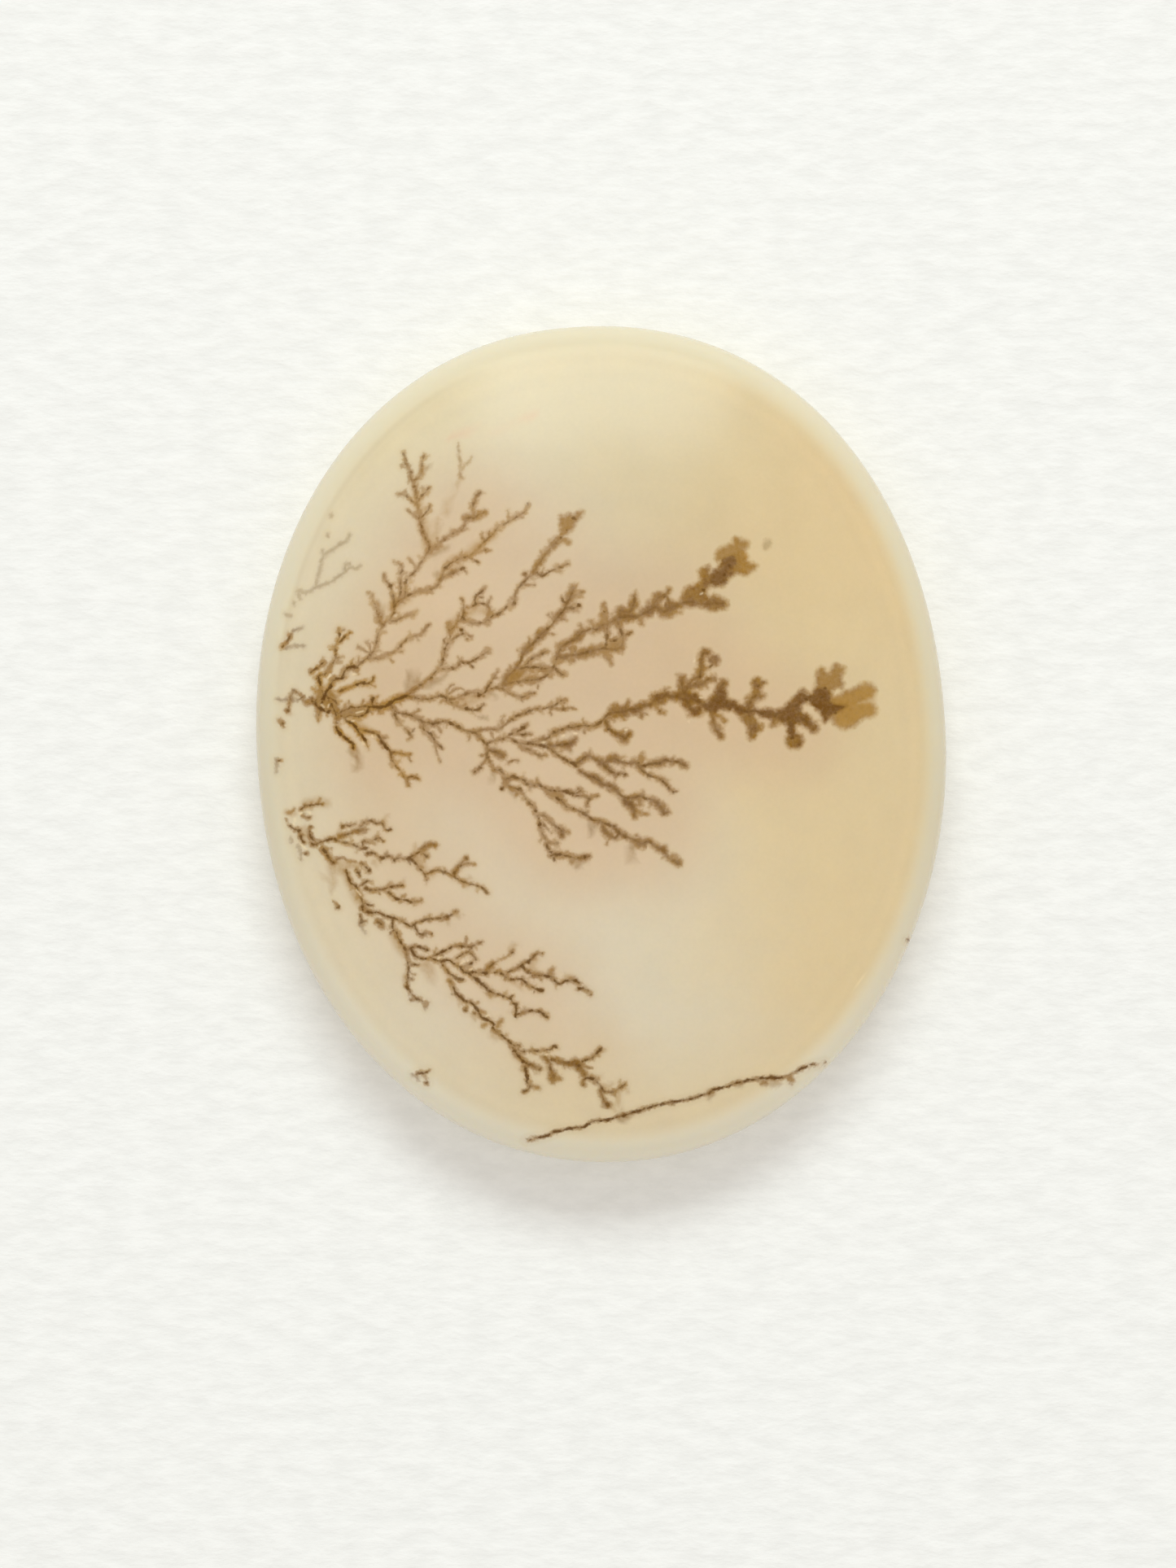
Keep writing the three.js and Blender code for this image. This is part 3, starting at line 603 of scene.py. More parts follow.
# Filled masses of the ferns: how they look, and their edge in photo pixels.
MASSES = {
    "root heart": (dict(HEAD, strength=0.86, gold=0.66), [(385, 846), (388, 842), (391, 846),
        (395, 842), (400, 849), (403, 844), (407, 841), (409, 848), (411, 854), (414, 854), (417, 863),
        (416, 871), (418, 878), (413, 890), (409, 880), (403, 875), (397, 873), (393, 873), (391, 886),
        (388, 875), (386, 866), (375, 866), (380, 857), (387, 857), (389, 852)]),
    "root foot": (dict(HEAD, gold=0.52), [(407, 867), (414, 865), (420, 871), (424, 879), (421, 884),
        (416, 886), (414, 891), (410, 885), (408, 877)]),
    "root crest": (dict(HEAD, strength=0.74, gold=0.5), [(416, 871), (423, 868), (427, 867), (429, 861),
        (432, 867), (437, 869), (441, 868), (446, 860), (448, 868), (453, 871), (452, 875), (446, 879),
        (437, 881), (428, 882), (424, 886), (418, 882)]),
    "upper body": (GHOST, [(479, 748), (482, 738), (495, 733), (499, 738), (490, 747)]),
    "start": (LOBE, [(619, 842), (624, 828), (640, 818), (648, 822), (642, 834), (632, 840)]),
    "brush": (dict(HEAD, gold=0.68, strength=0.8), [(687, 662), (688, 644), (687, 631), (692, 635),
        (699, 630), (703, 633), (717, 625), (716, 635), (708, 640), (706, 649), (698, 656)]),
    "crown neck": (HEAD, [(836, 751), (834, 741), (838, 731), (842, 721), (849, 720), (856, 717),
        (861, 712), (859, 706), (858, 702), (860, 699), (865, 697), (870, 695), (874, 698), (872, 703),
        (873, 707), (880, 705), (882, 713), (872, 721), (869, 726), (869, 731), (873, 736), (867, 745),
        (856, 744), (847, 742)]),
    "crown arm": (BODY, [(862, 737), (873, 735), (883, 735), (888, 738), (892, 742), (889, 745),
        (882, 748), (876, 751), (870, 751), (865, 746)]),
    "crown head": (HEAD, [(866, 714), (871, 712), (877, 705), (881, 699), (883, 694), (886, 688),
        (883, 684), (879, 681), (882, 676), (887, 672), (894, 670), (901, 668), (900, 662), (904, 660),
        (912, 663), (918, 664), (921, 669), (916, 673), (916, 679), (919, 684), (918, 689), (924, 692),
        (931, 695), (929, 699), (922, 702), (918, 707), (911, 706), (904, 705), (899, 709), (894, 714),
        (890, 721), (885, 719), (880, 715), (875, 717), (869, 721)]),
    "crown glow": (dict(GLOW, pull=4.0), [(903, 690), (903, 679), (907, 671), (915, 675), (919, 684),
        (918, 690), (930, 694), (926, 701), (916, 707), (907, 704), (902, 697)]),
    "crown tips": (dict(GLOW, gold=0.7, strength=0.78, pull=4.0), [(880, 690), (879, 680), (884, 674),
        (893, 670), (902, 667), (902, 661), (912, 663), (920, 667), (918, 674), (910, 682), (899, 687),
        (890, 689)]),
    "plume mass": (BODY, [(750, 880), (752, 873), (757, 867), (763, 868), (772, 861), (774, 868),
        (777, 872), (774, 880), (766, 884), (757, 881)]),
    "junction": (BODY, [(834, 845), (840, 842), (848, 845), (852, 853), (850, 861), (842, 865),
        (835, 860), (832, 852)]),
    "bridge": (CORE, [(857, 857), (866, 862), (872, 861), (877, 851), (882, 844), (887, 838),
        (893, 840), (893, 852), (896, 862), (891, 869), (885, 873), (878, 881), (872, 877), (866, 875),
        (859, 869)]),
    "post head": (PLUME, [(922, 838), (930, 831), (936, 835), (944, 838), (937, 843), (935, 849),
        (943, 856), (934, 861), (923, 863), (913, 858), (923, 853), (925, 846)]),
    "post foot": (PLUME, [(910, 879), (918, 872), (929, 874), (928, 883), (932, 887), (938, 892),
        (936, 899), (930, 902), (929, 907), (923, 911), (918, 906), (919, 896), (916, 889),
        (910, 884)]),
    "wing": (CORE, [(947, 881), (950, 873), (960, 871), (966, 866), (975, 857), (982, 850), (987, 845),
        (991, 850), (995, 854), (1001, 846), (1006, 838), (1012, 837), (1019, 841), (1023, 846),
        (1022, 853), (1024, 861), (1034, 864), (1047, 867), (1037, 873), (1030, 878), (1023, 882),
        (1018, 886), (1012, 890), (1011, 883), (1008, 877), (1003, 871), (997, 866), (991, 863),
        (986, 866), (984, 871), (987, 878), (993, 881), (998, 887), (1003, 896), (997, 897), (989, 893),
        (981, 890), (977, 892), (975, 901), (970, 901), (967, 893), (963, 890), (957, 888),
        (949, 892)]),
    "wing top": (dict(GLOW, gold=0.68, strength=0.82, blur=7.0), [(1002, 843), (1003, 832), (1004, 825),
        (1008, 820), (1011, 820), (1014, 825), (1019, 827), (1022, 822), (1024, 817), (1028, 815),
        (1033, 818), (1039, 820), (1038, 826), (1034, 830), (1034, 835), (1037, 841), (1036, 846),
        (1029, 845), (1022, 849), (1012, 850)]),
    "amber haze": (dict(MIST, strength=0.4, gold=1.0), [(1024, 862), (1040, 850), (1056, 846),
        (1072, 845), (1076, 856), (1074, 868), (1074, 878), (1058, 882), (1046, 890), (1030, 890)]),
    "amber upper": (AMBER, [(1018, 858), (1027, 856), (1034, 852), (1041, 848), (1049, 847),
        (1054, 843), (1061, 839), (1067, 839), (1073, 842), (1077, 847), (1075, 853), (1070, 858),
        (1062, 861), (1054, 866), (1048, 872), (1036, 874), (1022, 870)]),
    "amber lower": (AMBER, [(1020, 876), (1031, 868), (1040, 863), (1048, 861), (1056, 863),
        (1063, 864), (1070, 864), (1077, 869), (1078, 876), (1072, 881), (1063, 882), (1057, 886),
        (1052, 891), (1046, 895), (1040, 896), (1032, 895), (1026, 891), (1022, 884)]),
    "low mass": (LOBE, [(669, 969), (690, 972), (696, 978), (692, 985), (682, 980), (671, 975)]),
    "south mass": (BODY, [(690, 1303), (701, 1303), (708, 1299), (713, 1303), (719, 1305), (719, 1313),
        (717, 1320), (711, 1319), (709, 1316), (705, 1313), (696, 1312), (691, 1308)]),
    "comb mass": (GAUZE, [(651, 1182), (659, 1176), (661, 1182), (656, 1186), (662, 1193), (664, 1198),
        (656, 1199), (650, 1194), (643, 1191)]),
}

# Dark knots along the threads, in photo pixels.
KNOTS = [
    (398, 854), (372, 857), (361, 849), (353, 873), (413, 834), (431, 821), (455, 805), (407, 867),
    (391, 869), (383, 859), (347, 889), (471, 768), (484, 753), (480, 720), (498, 717), (520, 653),
    (517, 644), (509, 598), (499, 570), (504, 580), (546, 662), (567, 651), (586, 609), (557, 704),
    (548, 698), (597, 676), (446, 840), (520, 859), (531, 858), (549, 861), (589, 854), (573, 871),
    (517, 842), (530, 832), (544, 811), (547, 798), (567, 774), (570, 753), (600, 762), (611, 755),
    (632, 741), (645, 705), (688, 697), (683, 668), (705, 637), (697, 651), (690, 661), (556, 821),
    (643, 803), (662, 784), (673, 773), (690, 753), (711, 744), (646, 836), (661, 835), (666, 803),
    (694, 808), (722, 801), (756, 798), (709, 784), (733, 774), (741, 768), (755, 762), (761, 759),
    (768, 757), (796, 752), (881, 741), (743, 752), (746, 780), (755, 787), (772, 779), (806, 746),
    (817, 733), (866, 717), (864, 725), (890, 706), (896, 695), (532, 890), (548, 887), (563, 893),
    (629, 884), (646, 876), (662, 871), (678, 869), (692, 871), (618, 908), (643, 894), (642, 903),
    (681, 900), (698, 894), (693, 933), (705, 938), (702, 913), (599, 931), (590, 943), (602, 936),
    (614, 946), (766, 875), (780, 872), (785, 871), (804, 861), (827, 856), (811, 874), (748, 896),
    (765, 905), (855, 841), (862, 841), (870, 835), (860, 832), (849, 871), (894, 867), (918, 875),
    (936, 877), (952, 879), (1026, 876), (979, 867), (990, 859), (931, 843), (924, 896), (973, 906),
    (987, 884), (1014, 846), (1010, 857), (757, 952), (768, 952), (773, 938), (784, 938), (792, 941),
    (811, 938), (817, 934), (797, 952), (729, 955), (749, 966), (781, 980), (816, 1000), (779, 997),
    (625, 957), (647, 963), (656, 965), (682, 972), (698, 973), (724, 982), (704, 994), (754, 1016),
    (769, 1029), (638, 970), (650, 986), (658, 997), (663, 1013), (676, 1047), (617, 969), (691, 1022),
    (674, 1036), (688, 1050), (697, 1052), (718, 1054), (469, 913), (510, 955), (367, 1021),
    (369, 1028), (381, 1017), (382, 1029), (385, 1038), (411, 1031), (421, 1015), (448, 1011),
    (466, 1030), (448, 1042), (452, 1049), (469, 1055), (484, 1057), (507, 1052), (524, 1053),
    (546, 1072), (573, 1055), (397, 1044), (446, 1062), (453, 1070), (440, 1072), (415, 1115),
    (376, 1049), (450, 1092), (493, 1106), (507, 1109), (445, 1115), (493, 1132), (509, 1138),
    (444, 1134), (467, 1134), (549, 1127), (518, 1149), (488, 1151), (501, 1167), (506, 1185),
    (500, 1212), (512, 1228), (542, 1182), (597, 1196), (595, 1212), (564, 1204), (560, 1221),
    (572, 1242), (634, 1235), (641, 1245), (611, 1268), (632, 1291), (651, 1308), (663, 1314),
    (644, 1292), (680, 1322), (690, 1306), (698, 1306), (711, 1310), (727, 1300), (754, 1342),
    (744, 1357), (651, 1334), (622, 1201), (648, 1182), (649, 1194), (666, 1199), (679, 1202),
    (706, 1205), (716, 1215), (663, 1217), (524, 1331), (629, 1171), (767, 1371), (784, 1366),
    (827, 1355), (948, 1324), (1008, 1308), (1115, 1156),
]
KNOT = dict(TWIG, stain=6.6, strength=0.76, thread=3.6, dark=0.78, gold=0.4, taper=0.0)
SMALL_KNOT = dict(KNOT, stain=4.8, strength=0.66, thread=2.4, dark=0.4)

# Small painted glints, specks of light, the white fleck and the long pale pink streak.
GLINTS = [
    [(395, 866), (398, 869)], [(404, 866), (403, 869)], [(438, 876), (446, 874)],
    [(432, 886), (435, 886)], [(446, 912), (448, 916)], [(457, 904), (458, 906)],
    [(402, 834), (406, 829)], [(434, 828), (437, 829)], [(854, 811), (854, 813)],
    [(860, 857), (863, 857)], [(845, 887), (845, 889)], [(768, 897), (770, 897)],
    [(705, 902), (708, 902)], [(691, 904), (693, 904)], [(667, 912), (669, 912)],
    [(663, 828), (665, 828)], [(538, 1178), (543, 1176)], [(565, 1185), (569, 1182), (575, 1181)],
    [(577, 1192), (580, 1191)], [(630, 1219), (630, 1221)], [(597, 1249), (600, 1248)],
    [(648, 1294), (648, 1296)], [(670, 1296), (672, 1296)], [(369, 1037), (377, 1044)],
    [(362, 1007), (361, 1014)], [(368, 1001), (371, 999)], [(379, 998), (382, 1000)],
    [(438, 1094), (443, 1100)], [(861, 730), (863, 729)],
]
GLINT_SIZE = 1.4
FLECK = (1055, 1206)
FLECK_SIZE = 2.6
FLECK_STRENGTH = 1.6
STREAK = [(552, 538), (560, 536), (584, 531), (606, 527), (632, 520), (655, 512)]
STREAK_WIDTH = 5.0

# How far the edge of a glint and of the streak fades out, as a share of its size, and how far
# around them the mesh is looked at, in photo pixels.
GLINT_FADES = 1.3
STREAK_FADES = 1.2
GLINT_MARGIN = 6
STREAK_MARGIN = 20

# Short side spurs that grow along the branches as soft pointed lobes: how far apart they stand,
# their length beyond a sixth of the branch's stain, and their width at the foot, all in photo
# pixels, the share of it that is gone at the tip, their lean in degrees, how strong they are
# beside the branch, how much more golden, and how often the next one stands on the other side.
# A few are longer thin twigs, and some have a dark knot on their way.
SPUR_SEED = 11
SPUR_SPACING = (7.0, 23.0)
SPUR_LENGTH = (3.0, 7.5)
SPUR_STAIN_PART = 6
SPUR_FOOT = (6.5, 12.5)
SPUR_TAPER = (0.6, 1.0)
SPUR_LEAN = (35, 85)
SPUR_STRENGTH = (0.6, 0.95)
SPUR_GOLD = 0.03
SPUR_SWAPS_SIDE = 0.7
SPUR_TWIGS = 0.09
TWIG_GROWTH = 1.5
SPUR_KNOTTED = 0.2
KNOT_ON_SPUR = (0.2, 1.0)
SPURRED = (TWIG, STEM, PLUME, BODY, TRUNK)

# Ferns that warm the milk around them, and how much. The warmth spreads this far from the middle
# of each branch, in photo pixels, and grows at this rate with the branches' strength.
FANNED = [(ROOT, 1.0), (UPPER_LEFT, 1.0), (CENTRE, 1.0), (RIGHT_UPPER, 1.0), (RIGHT_LOWER, 1.0),
          (LOWER_RIGHT, 1.0), (LOW_FAN, 1.0), (LOWER_LEFT, 0.34)]
FAN_SPREAD = 42
FAN_RATE = 0.33

# Each fern with the strength of its stains and of its threads, how wide the stains are and how
# much they swell and shrink on their way, and how much more golden or greyer it is.
BRANCHES = [
    (ROOT, 1.12, 1.3, 1.0, 0.15, 0.3),
    (UPPER_LEFT, 0.86, 0.98, 0.96, 0.25, 0.16),
    (CENTRE, 0.9, 1.15, 0.93, 0.3, 0.05),
    (RIGHT_UPPER, 0.92, 1.0, 1.06, 0.45, 0.0),
    (RIGHT_LOWER, 1.0, 1.0, 1.04, 0.4, 0.0),
    (LOWER_RIGHT, 0.92, 1.15, 0.95, 0.4, -0.04),
    (LOW_FAN, 0.92, 1.15, 0.95, 0.4, -0.03),
    (FAINT_FERN, 1.0, 1.0, 1.0, 0.2, 0.0),
    (LOWER_LEFT, 0.96, 1.26, 0.84, 0.25, 0.17),
    (VEINS, 1.0, 1.0, 1.0, 0.3, 0.0),
]

# A stain swells and shrinks on its way in a short and a long wave: the photo pixels to a radian
# of the short one, the share of each, how fast the long one runs beside the short one and where
# it starts, and how the place of the branch's foot shifts both, so that no two are alike.
SWELL_LENGTH = 4.6
SHORT_WAVE = 0.6
LONG_WAVE = 0.4
LONG_WAVE_PACE = 0.43
LONG_WAVE_START = 1.7
SWELL_SHIFT = (0.7, 1.3)

# Half the length of a knot's short path, and the part of a bend's two sides that is cut off.
KNOT_REACH = 0.4
BEND_CUT = 0.25

# How the looks of branches that run close are mixed. Depths are in photo pixels and below 0
# outside a stain or a thread, and FAR stands for none at all. A look pulls more, the deeper a
# point lies in its stain, at this rate and within these limits.
STAIN_FAR = -12.0
STAIN_LIMITS = (-8, 7)
STAIN_RATE = 0.5
THREAD_FAR = -6.0
THREAD_LIMITS = (-6, 6)
THREAD_RATE = 2.2
PLAIN_HAZE_GOLD = 0.5
TINY = 1e-6

# Cells are divided from this height up, a little under the dome's edge, and branches are looked
# for this much further out than a round of refinement reaches, in photo pixels.
DOME_FROM = RIM_TOP - 0.05
REFINE_MARGIN = 6

# Layout of the stone's faces on one square sheet, for its finish to be printed on: the scale and
# corner of the dome with the rim, seen from above, of the smaller back, and of the side, which
# lies in two strips, one for each half of the stone's outline.
SHEET_MARGIN = 0.1
DOME_SCALE = 0.872 / LENGTH
DOME_CORNER = (0.006, 0.12)
BACK_SCALE = 0.24 / WIDTH
BACK_CORNER = (0.745, 0.5)
BACK_FACES_DOWN = -0.95
STRIP_SCALE = 0.97 / 33
STRIP_LENGTH = 31.5
STRIP_START = 0.012
STRIP_ROWS = (0.008, 0.062)
STRIP_HEIGHT = 0.85
STRIP_FOOT = 0.55


def deselect_all():
    if bpy.context.object and bpy.context.object.mode != "OBJECT":
        bpy.ops.object.mode_set(mode="OBJECT")
    bpy.ops.object.select_all(action="DESELECT")


def select_only(piece):
    deselect_all()
    bpy.context.view_layer.objects.active = piece
    piece.select_set(True)


def outline_radius(angle):
    """Distance from the stone's middle to its edge in one direction, seen from above."""
    turned = angle - math.radians(LEAN)
    across = np.cos(turned)
    along = np.sin(turned)
    upper = np.where(across >= 0, FULLNESS["upper right"], FULLNESS["upper left"])
    lower = np.where(across >= 0, FULLNESS["lower right"], FULLNESS["lower left"])
    power = np.where(along >= 0, upper, lower)
    reach = np.abs(across / HALF_WIDTH) ** power + np.abs(along / (LENGTH / 2)) ** power
    return reach ** (-1 / power)


def outline_middle():
    """Middle of the outline's box, from the same steps around the stone as the solid has."""
    angle = np.arange(SOLID_STEPS) / SOLID_STEPS * 2 * math.pi
    radius = outline_radius(angle)
    x = radius * np.cos(angle)
    y = radius * np.sin(angle)
    return (x.min() + x.max()) / 2, (y.min() + y.max()) / 2


MIDDLE = outline_middle()


def rounded_corner(start, corner, end, steps):
    """Points of a rounded corner, drawn towards the sharp corner that it replaces."""
    points = []
    for step in range(steps + 1):
        t = step / steps
        points.append(tuple((1 - t) ** 2 * a + 2 * t * (1 - t) * b + t * t * c
                            for a, b, c in zip(start, corner, end)))
    return points


def side_section():
    """Points of the section from the dome's edge down to the flat back, as (radius, height)."""
    rim = rounded_corner((DOME_EDGE, RIM_TOP),
                         (HALF_WIDTH - RIM_WIDTH / 8, RIM_TOP - RIM_WIDTH / 2),
                         (HALF_WIDTH, GIRDLE_TOP), RIM_STEPS)
    bevel = rounded_corner((HALF_WIDTH, GIRDLE_BOTTOM),
                           (HALF_WIDTH - BACK_BEVEL_WIDTH / 4, 0),
                           (HALF_WIDTH - BACK_BEVEL_WIDTH, 0), BEVEL_STEPS)
    return rim + bevel


def dome_height(radius):
    """Height of the dome's arc: one circle through its edge and its top, level on top."""
    rise = THICKNESS - RIM_TOP
    arc = (DOME_EDGE ** 2 + rise ** 2) / (2 * rise)
    return THICKNESS - arc + np.sqrt(arc ** 2 - radius ** 2)


def section_radius(x, y):
    """How far out a point lies, measured along the section at the narrow side."""
    across = x + MIDDLE[0]
    along = y + MIDDLE[1]
    return np.hypot(across, along) * HALF_WIDTH / outline_radius(np.arctan2(along, across))


def vertex_places(mesh):
    places = np.empty(len(mesh.vertices) * 3)
    mesh.vertices.foreach_get("co", places)
    return places.reshape(-1, 3)


def set_vertex_places(mesh, places):
    mesh.vertices.foreach_set("co", places.ravel())
    mesh.update()


def rounded_square(square):
    """The places of a square sheet, with its edge rounded to a circle."""
    disc = square.copy()
    disc[:, 0] = square[:, 0] * np.sqrt(1 - square[:, 1] ** 2 / 2)
    disc[:, 1] = square[:, 1] * np.sqrt(1 - square[:, 0] ** 2 / 2)
    return disc


def stone_blank():
    """A gridded sheet for the dome, with its edge extruded down the side and closed below.
    The rows of the side lie one below the other, a whole unit apart, until they are shaped."""
    deselect_all()
    bpy.ops.mesh.primitive_grid_add(x_subdivisions=CELLS_ACROSS, y_subdivisions=CELLS_ALONG,
                                    size=2)
    stone = bpy.context.object
    stone.name = "agate_stone"
    bpy.ops.object.mode_set(mode="EDIT")
    bpy.ops.mesh.select_all(action="SELECT")
    bpy.ops.mesh.region_to_loop()
    for _ in side_section()[1:]:
        bpy.ops.mesh.extrude_edges_move(TRANSFORM_OT_translate={"value": (0, 0, -1)})
    bpy.ops.object.mode_set(mode="OBJECT")
    set_vertex_places(stone.data, rounded_square(vertex_places(stone.data)))
    bpy.ops.object.mode_set(mode="EDIT")
    bpy.ops.mesh.edge_face_add()
    for width in BACK_RINGS:
        bpy.ops.mesh.inset(thickness=width, depth=0)
    bpy.ops.mesh.merge(type="CENTER")
    bpy.ops.object.mode_set(mode="OBJECT")
    return stone


def shape_stone(stone):
    """Each row of the blank goes to its own height and distance, then out to the outline."""
    places = vertex_places(stone.data)
    section = np.array(side_section())
    row = np.rint(-places[:, 2]).astype(int)
    share = np.hypot(places[:, 0], places[:, 1])
    angle = np.arctan2(places[:, 1], places[:, 0])
    radius = share * section[row, 0]
    height = np.where(row == 0, dome_height(np.minimum(radius, DOME_EDGE)), section[row, 1])
    stretch = outline_radius(angle) / HALF_WIDTH
    places[:, 0] = radius * stretch * np.cos(angle) - MIDDLE[0]
    places[:, 1] = radius * stretch * np.sin(angle) - MIDDLE[1]
    places[:, 2] = height
    set_vertex_places(stone.data, places)


def photo_place(places):
    """Where a point of the stone, in millimetres, lies in the photograph."""
    nearer = CAMERA_HEIGHT / (CAMERA_HEIGHT - (places[:, 2] - SHARP_LEVEL))
    x = PHOTO_MIDDLE[0] + (places[:, 0] - CAMERA_OVER[0]) * nearer * PIXELS_PER_MM
    y = PHOTO_MIDDLE[1] - (places[:, 1] - CAMERA_OVER[1]) * nearer * PIXELS_PER_MM
    return np.stack([x, y], axis=1)


def toned(look, strength, dark, width, swell, gold):
    """A branch's look, as its fern changes it."""
    made = dict(look, strength=look["strength"] * strength, stain=look["stain"] * width,
                gold=look["gold"] + gold, swell=look.get("swell", swell))
    if not look.get("soft"):
        made["dark"] = min(look["dark"] * dark, 1.0)
    return made


def branches_of(fern):
    return [(look, path) for look, *paths in fern.values() for path in paths]


def grown_spur(chance, look, tone, foot, heading):
    """One spur that grows from its foot on a branch, leaning off the branch's heading."""
    strength, dark, width, gold = tone
    reach = (chance.uniform(*SPUR_LENGTH) + look["stain"] / SPUR_STAIN_PART) * width
    if chance.random() < SPUR_TWIGS:
        reach *= TWIG_GROWTH
        spur = toned(HAIR, strength, dark, width, 0, gold)
    else:
        weaker = strength * chance.uniform(*SPUR_STRENGTH)
        spur = toned(look, weaker, dark, width, 0, gold + SPUR_GOLD)
        spur.update(stain=chance.uniform(*SPUR_FOOT) * width, thread=0.0,
                    taper=chance.uniform(*SPUR_TAPER))
    tip = (foot[0] + reach * math.cos(heading), foot[1] + reach * math.sin(heading))
    return spur, [foot, tip]


def grown_spurs():
    """Short spurs to alternate sides of the branches, seeded so that they never change."""
    chance = random.Random(SPUR_SEED)
    spurs = []
    knots = []
    for fern, strength, dark, width, _, gold in BRANCHES:
        for look, points in branches_of(fern):
            if look not in SPURRED:
                continue
            side = chance.choice((-1, 1))
            wait = chance.uniform(*SPUR_SPACING)
            for (x0, y0), (x1, y1) in zip(points, points[1:]):
                length = math.hypot(x1 - x0, y1 - y0)
                heading = math.atan2(y1 - y0, x1 - x0)
                gone = 0.0
                while wait < length - gone:
                    gone += wait
                    x = x0 + (x1 - x0) * gone / length
                    y = y0 + (y1 - y0) * gone / length
                    lean = heading + math.radians(chance.uniform(*SPUR_LEAN)) * side
                    spur, path = grown_spur(chance, look, (strength, dark, width, gold),
                                            (x, y), lean)
                    spurs.append((spur, path))
                    if chance.random() < SPUR_KNOTTED:
                        part = chance.uniform(*KNOT_ON_SPUR)
                        tip = path[1]
                        knots.append((x + (tip[0] - x) * part, y + (tip[1] - y) * part))
                    if chance.random() < SPUR_SWAPS_SIDE:
                        side = -side
                    wait = chance.uniform(*SPUR_SPACING)
                wait -= length - gone
    return spurs, knots


def knot_stroke(look, x, y):
    return look, [(x - KNOT_REACH, y), (x + KNOT_REACH, y)]


def between(first, second, share):
    return ((1 - share) * first[0] + share * second[0],
            (1 - share) * first[1] + share * second[1])


def rounded(path, closed=False):
    """The path with each corner cut off, so that it bends softly."""
    points = [] if closed else [path[0]]
    for first, second in zip(path, path[1:] + path[:1] if closed else path[1:]):
        points.append(between(first, second, BEND_CUT))
        points.append(between(first, second, 1 - BEND_CUT))
    return points if closed else points + [path[-1]]


SPURS, SPUR_KNOTS = grown_spurs()
STROKES = [(toned(look, *tone), rounded(path)) for fern, *tone in BRANCHES
           for look, path in branches_of(fern)]
STROKES += SPURS
STROKES += [knot_stroke(KNOT, x, y) for x, y in KNOTS]
STROKES += [knot_stroke(SMALL_KNOT, x, y) for x, y in SPUR_KNOTS]
SHAPES = [(look, path, False) for look, path in STROKES]
SHAPES += [(look, rounded(path, closed=True), True) for look, path in MASSES.values()]


def nearest_on(points, path, closed=False):
    """Distance of each point from a path, the share of the way along it, and its length."""
    path = np.array(path, dtype=float)
    start = path if closed else path[:-1]
    end = np.roll(path, -1, axis=0) if closed else path[1:]
    run = end - start
    length = np.maximum(np.hypot(run[:, 0], run[:, 1]), TINY)
    offset = points[:, None, :] - start[None, :, :]
    along = np.clip((offset * run).sum(2) / length ** 2, 0, 1)
    gap = np.hypot(*np.moveaxis(offset - along[:, :, None] * run, 2, 0))
    piece = gap.argmin(1)
    row = np.arange(len(points))
    before = np.cumsum(length) - length
    share = (before[piece] + along[row, piece] * length[piece]) / length.sum()
    return gap[row, piece], share, length.sum()


def inside_loop(points, path):
    """Which points lie inside a closed path."""
    path = np.array(path, dtype=float)
    x, y = points[:, 0], points[:, 1]
    within = np.zeros(len(points), dtype=bool)
    for (x0, y0), (x1, y1) in zip(path, np.roll(path, -1, axis=0)):
        crosses = (y0 > y) != (y1 > y)
        if y0 != y1:
            within ^= crosses & (x < (x1 - x0) * (y - y0) / (y1 - y0) + x0)
    return within


def close_by(points, path, margin):
    """Which points lie in the path's own box, made wider by the margin."""
    path = np.array(path, dtype=float)
    low = path.min(0) - margin
    high = path.max(0) + margin
    return np.nonzero(((points >= low) & (points <= high)).all(1))[0]


def swelling(share, length, foot):
    """How a stain swells and shrinks on its way from the foot of its branch, from -1 to 1."""
    turn = share * length / SWELL_LENGTH
    turn = turn + foot[0] * SWELL_SHIFT[0] + foot[1] * SWELL_SHIFT[1]
    return SHORT_WAVE * np.sin(turn) + LONG_WAVE * np.sin(turn * LONG_WAVE_PACE + LONG_WAVE_START)


def shape_depth(points, look, path, filled):
    """How deep each point lies within a stain, below 0 outside it, and its distance from the
    thread in the stain's middle."""
    away, share, length = nearest_on(points, path, closed=filled)
    if filled:
        return np.where(inside_loop(points, path), away, -away), away
    swollen = 1 + look.get("swell", 0) * swelling(share, length, path[0])
    return look["stain"] / 2 * (1 - look["taper"] * share) * swollen - away, away


def edge_depth(points, margin):
    """How deep each point lies within the nearest branch's stain, below 0 outside it."""
    depth = np.full(len(points), -margin)
    for look, path, filled in SHAPES:
        near = close_by(points, path, margin + look["stain"])
        if len(near) and not look.get("soft"):
            reach, _ = shape_depth(points[near], look, path, filled)
            depth[near] = np.maximum(depth[near], reach)
    return depth


def cells_by_branches(mesh, reach):
    """Which cells of the dome lie within this reach of a branch's edge."""
    middles = np.empty(len(mesh.polygons) * 3)
    mesh.polygons.foreach_get("center", middles)
    middles = middles.reshape(-1, 3)
    close = edge_depth(photo_place(middles), reach + REFINE_MARGIN) > -reach
    return close & (middles[:, 2] > DOME_FROM)


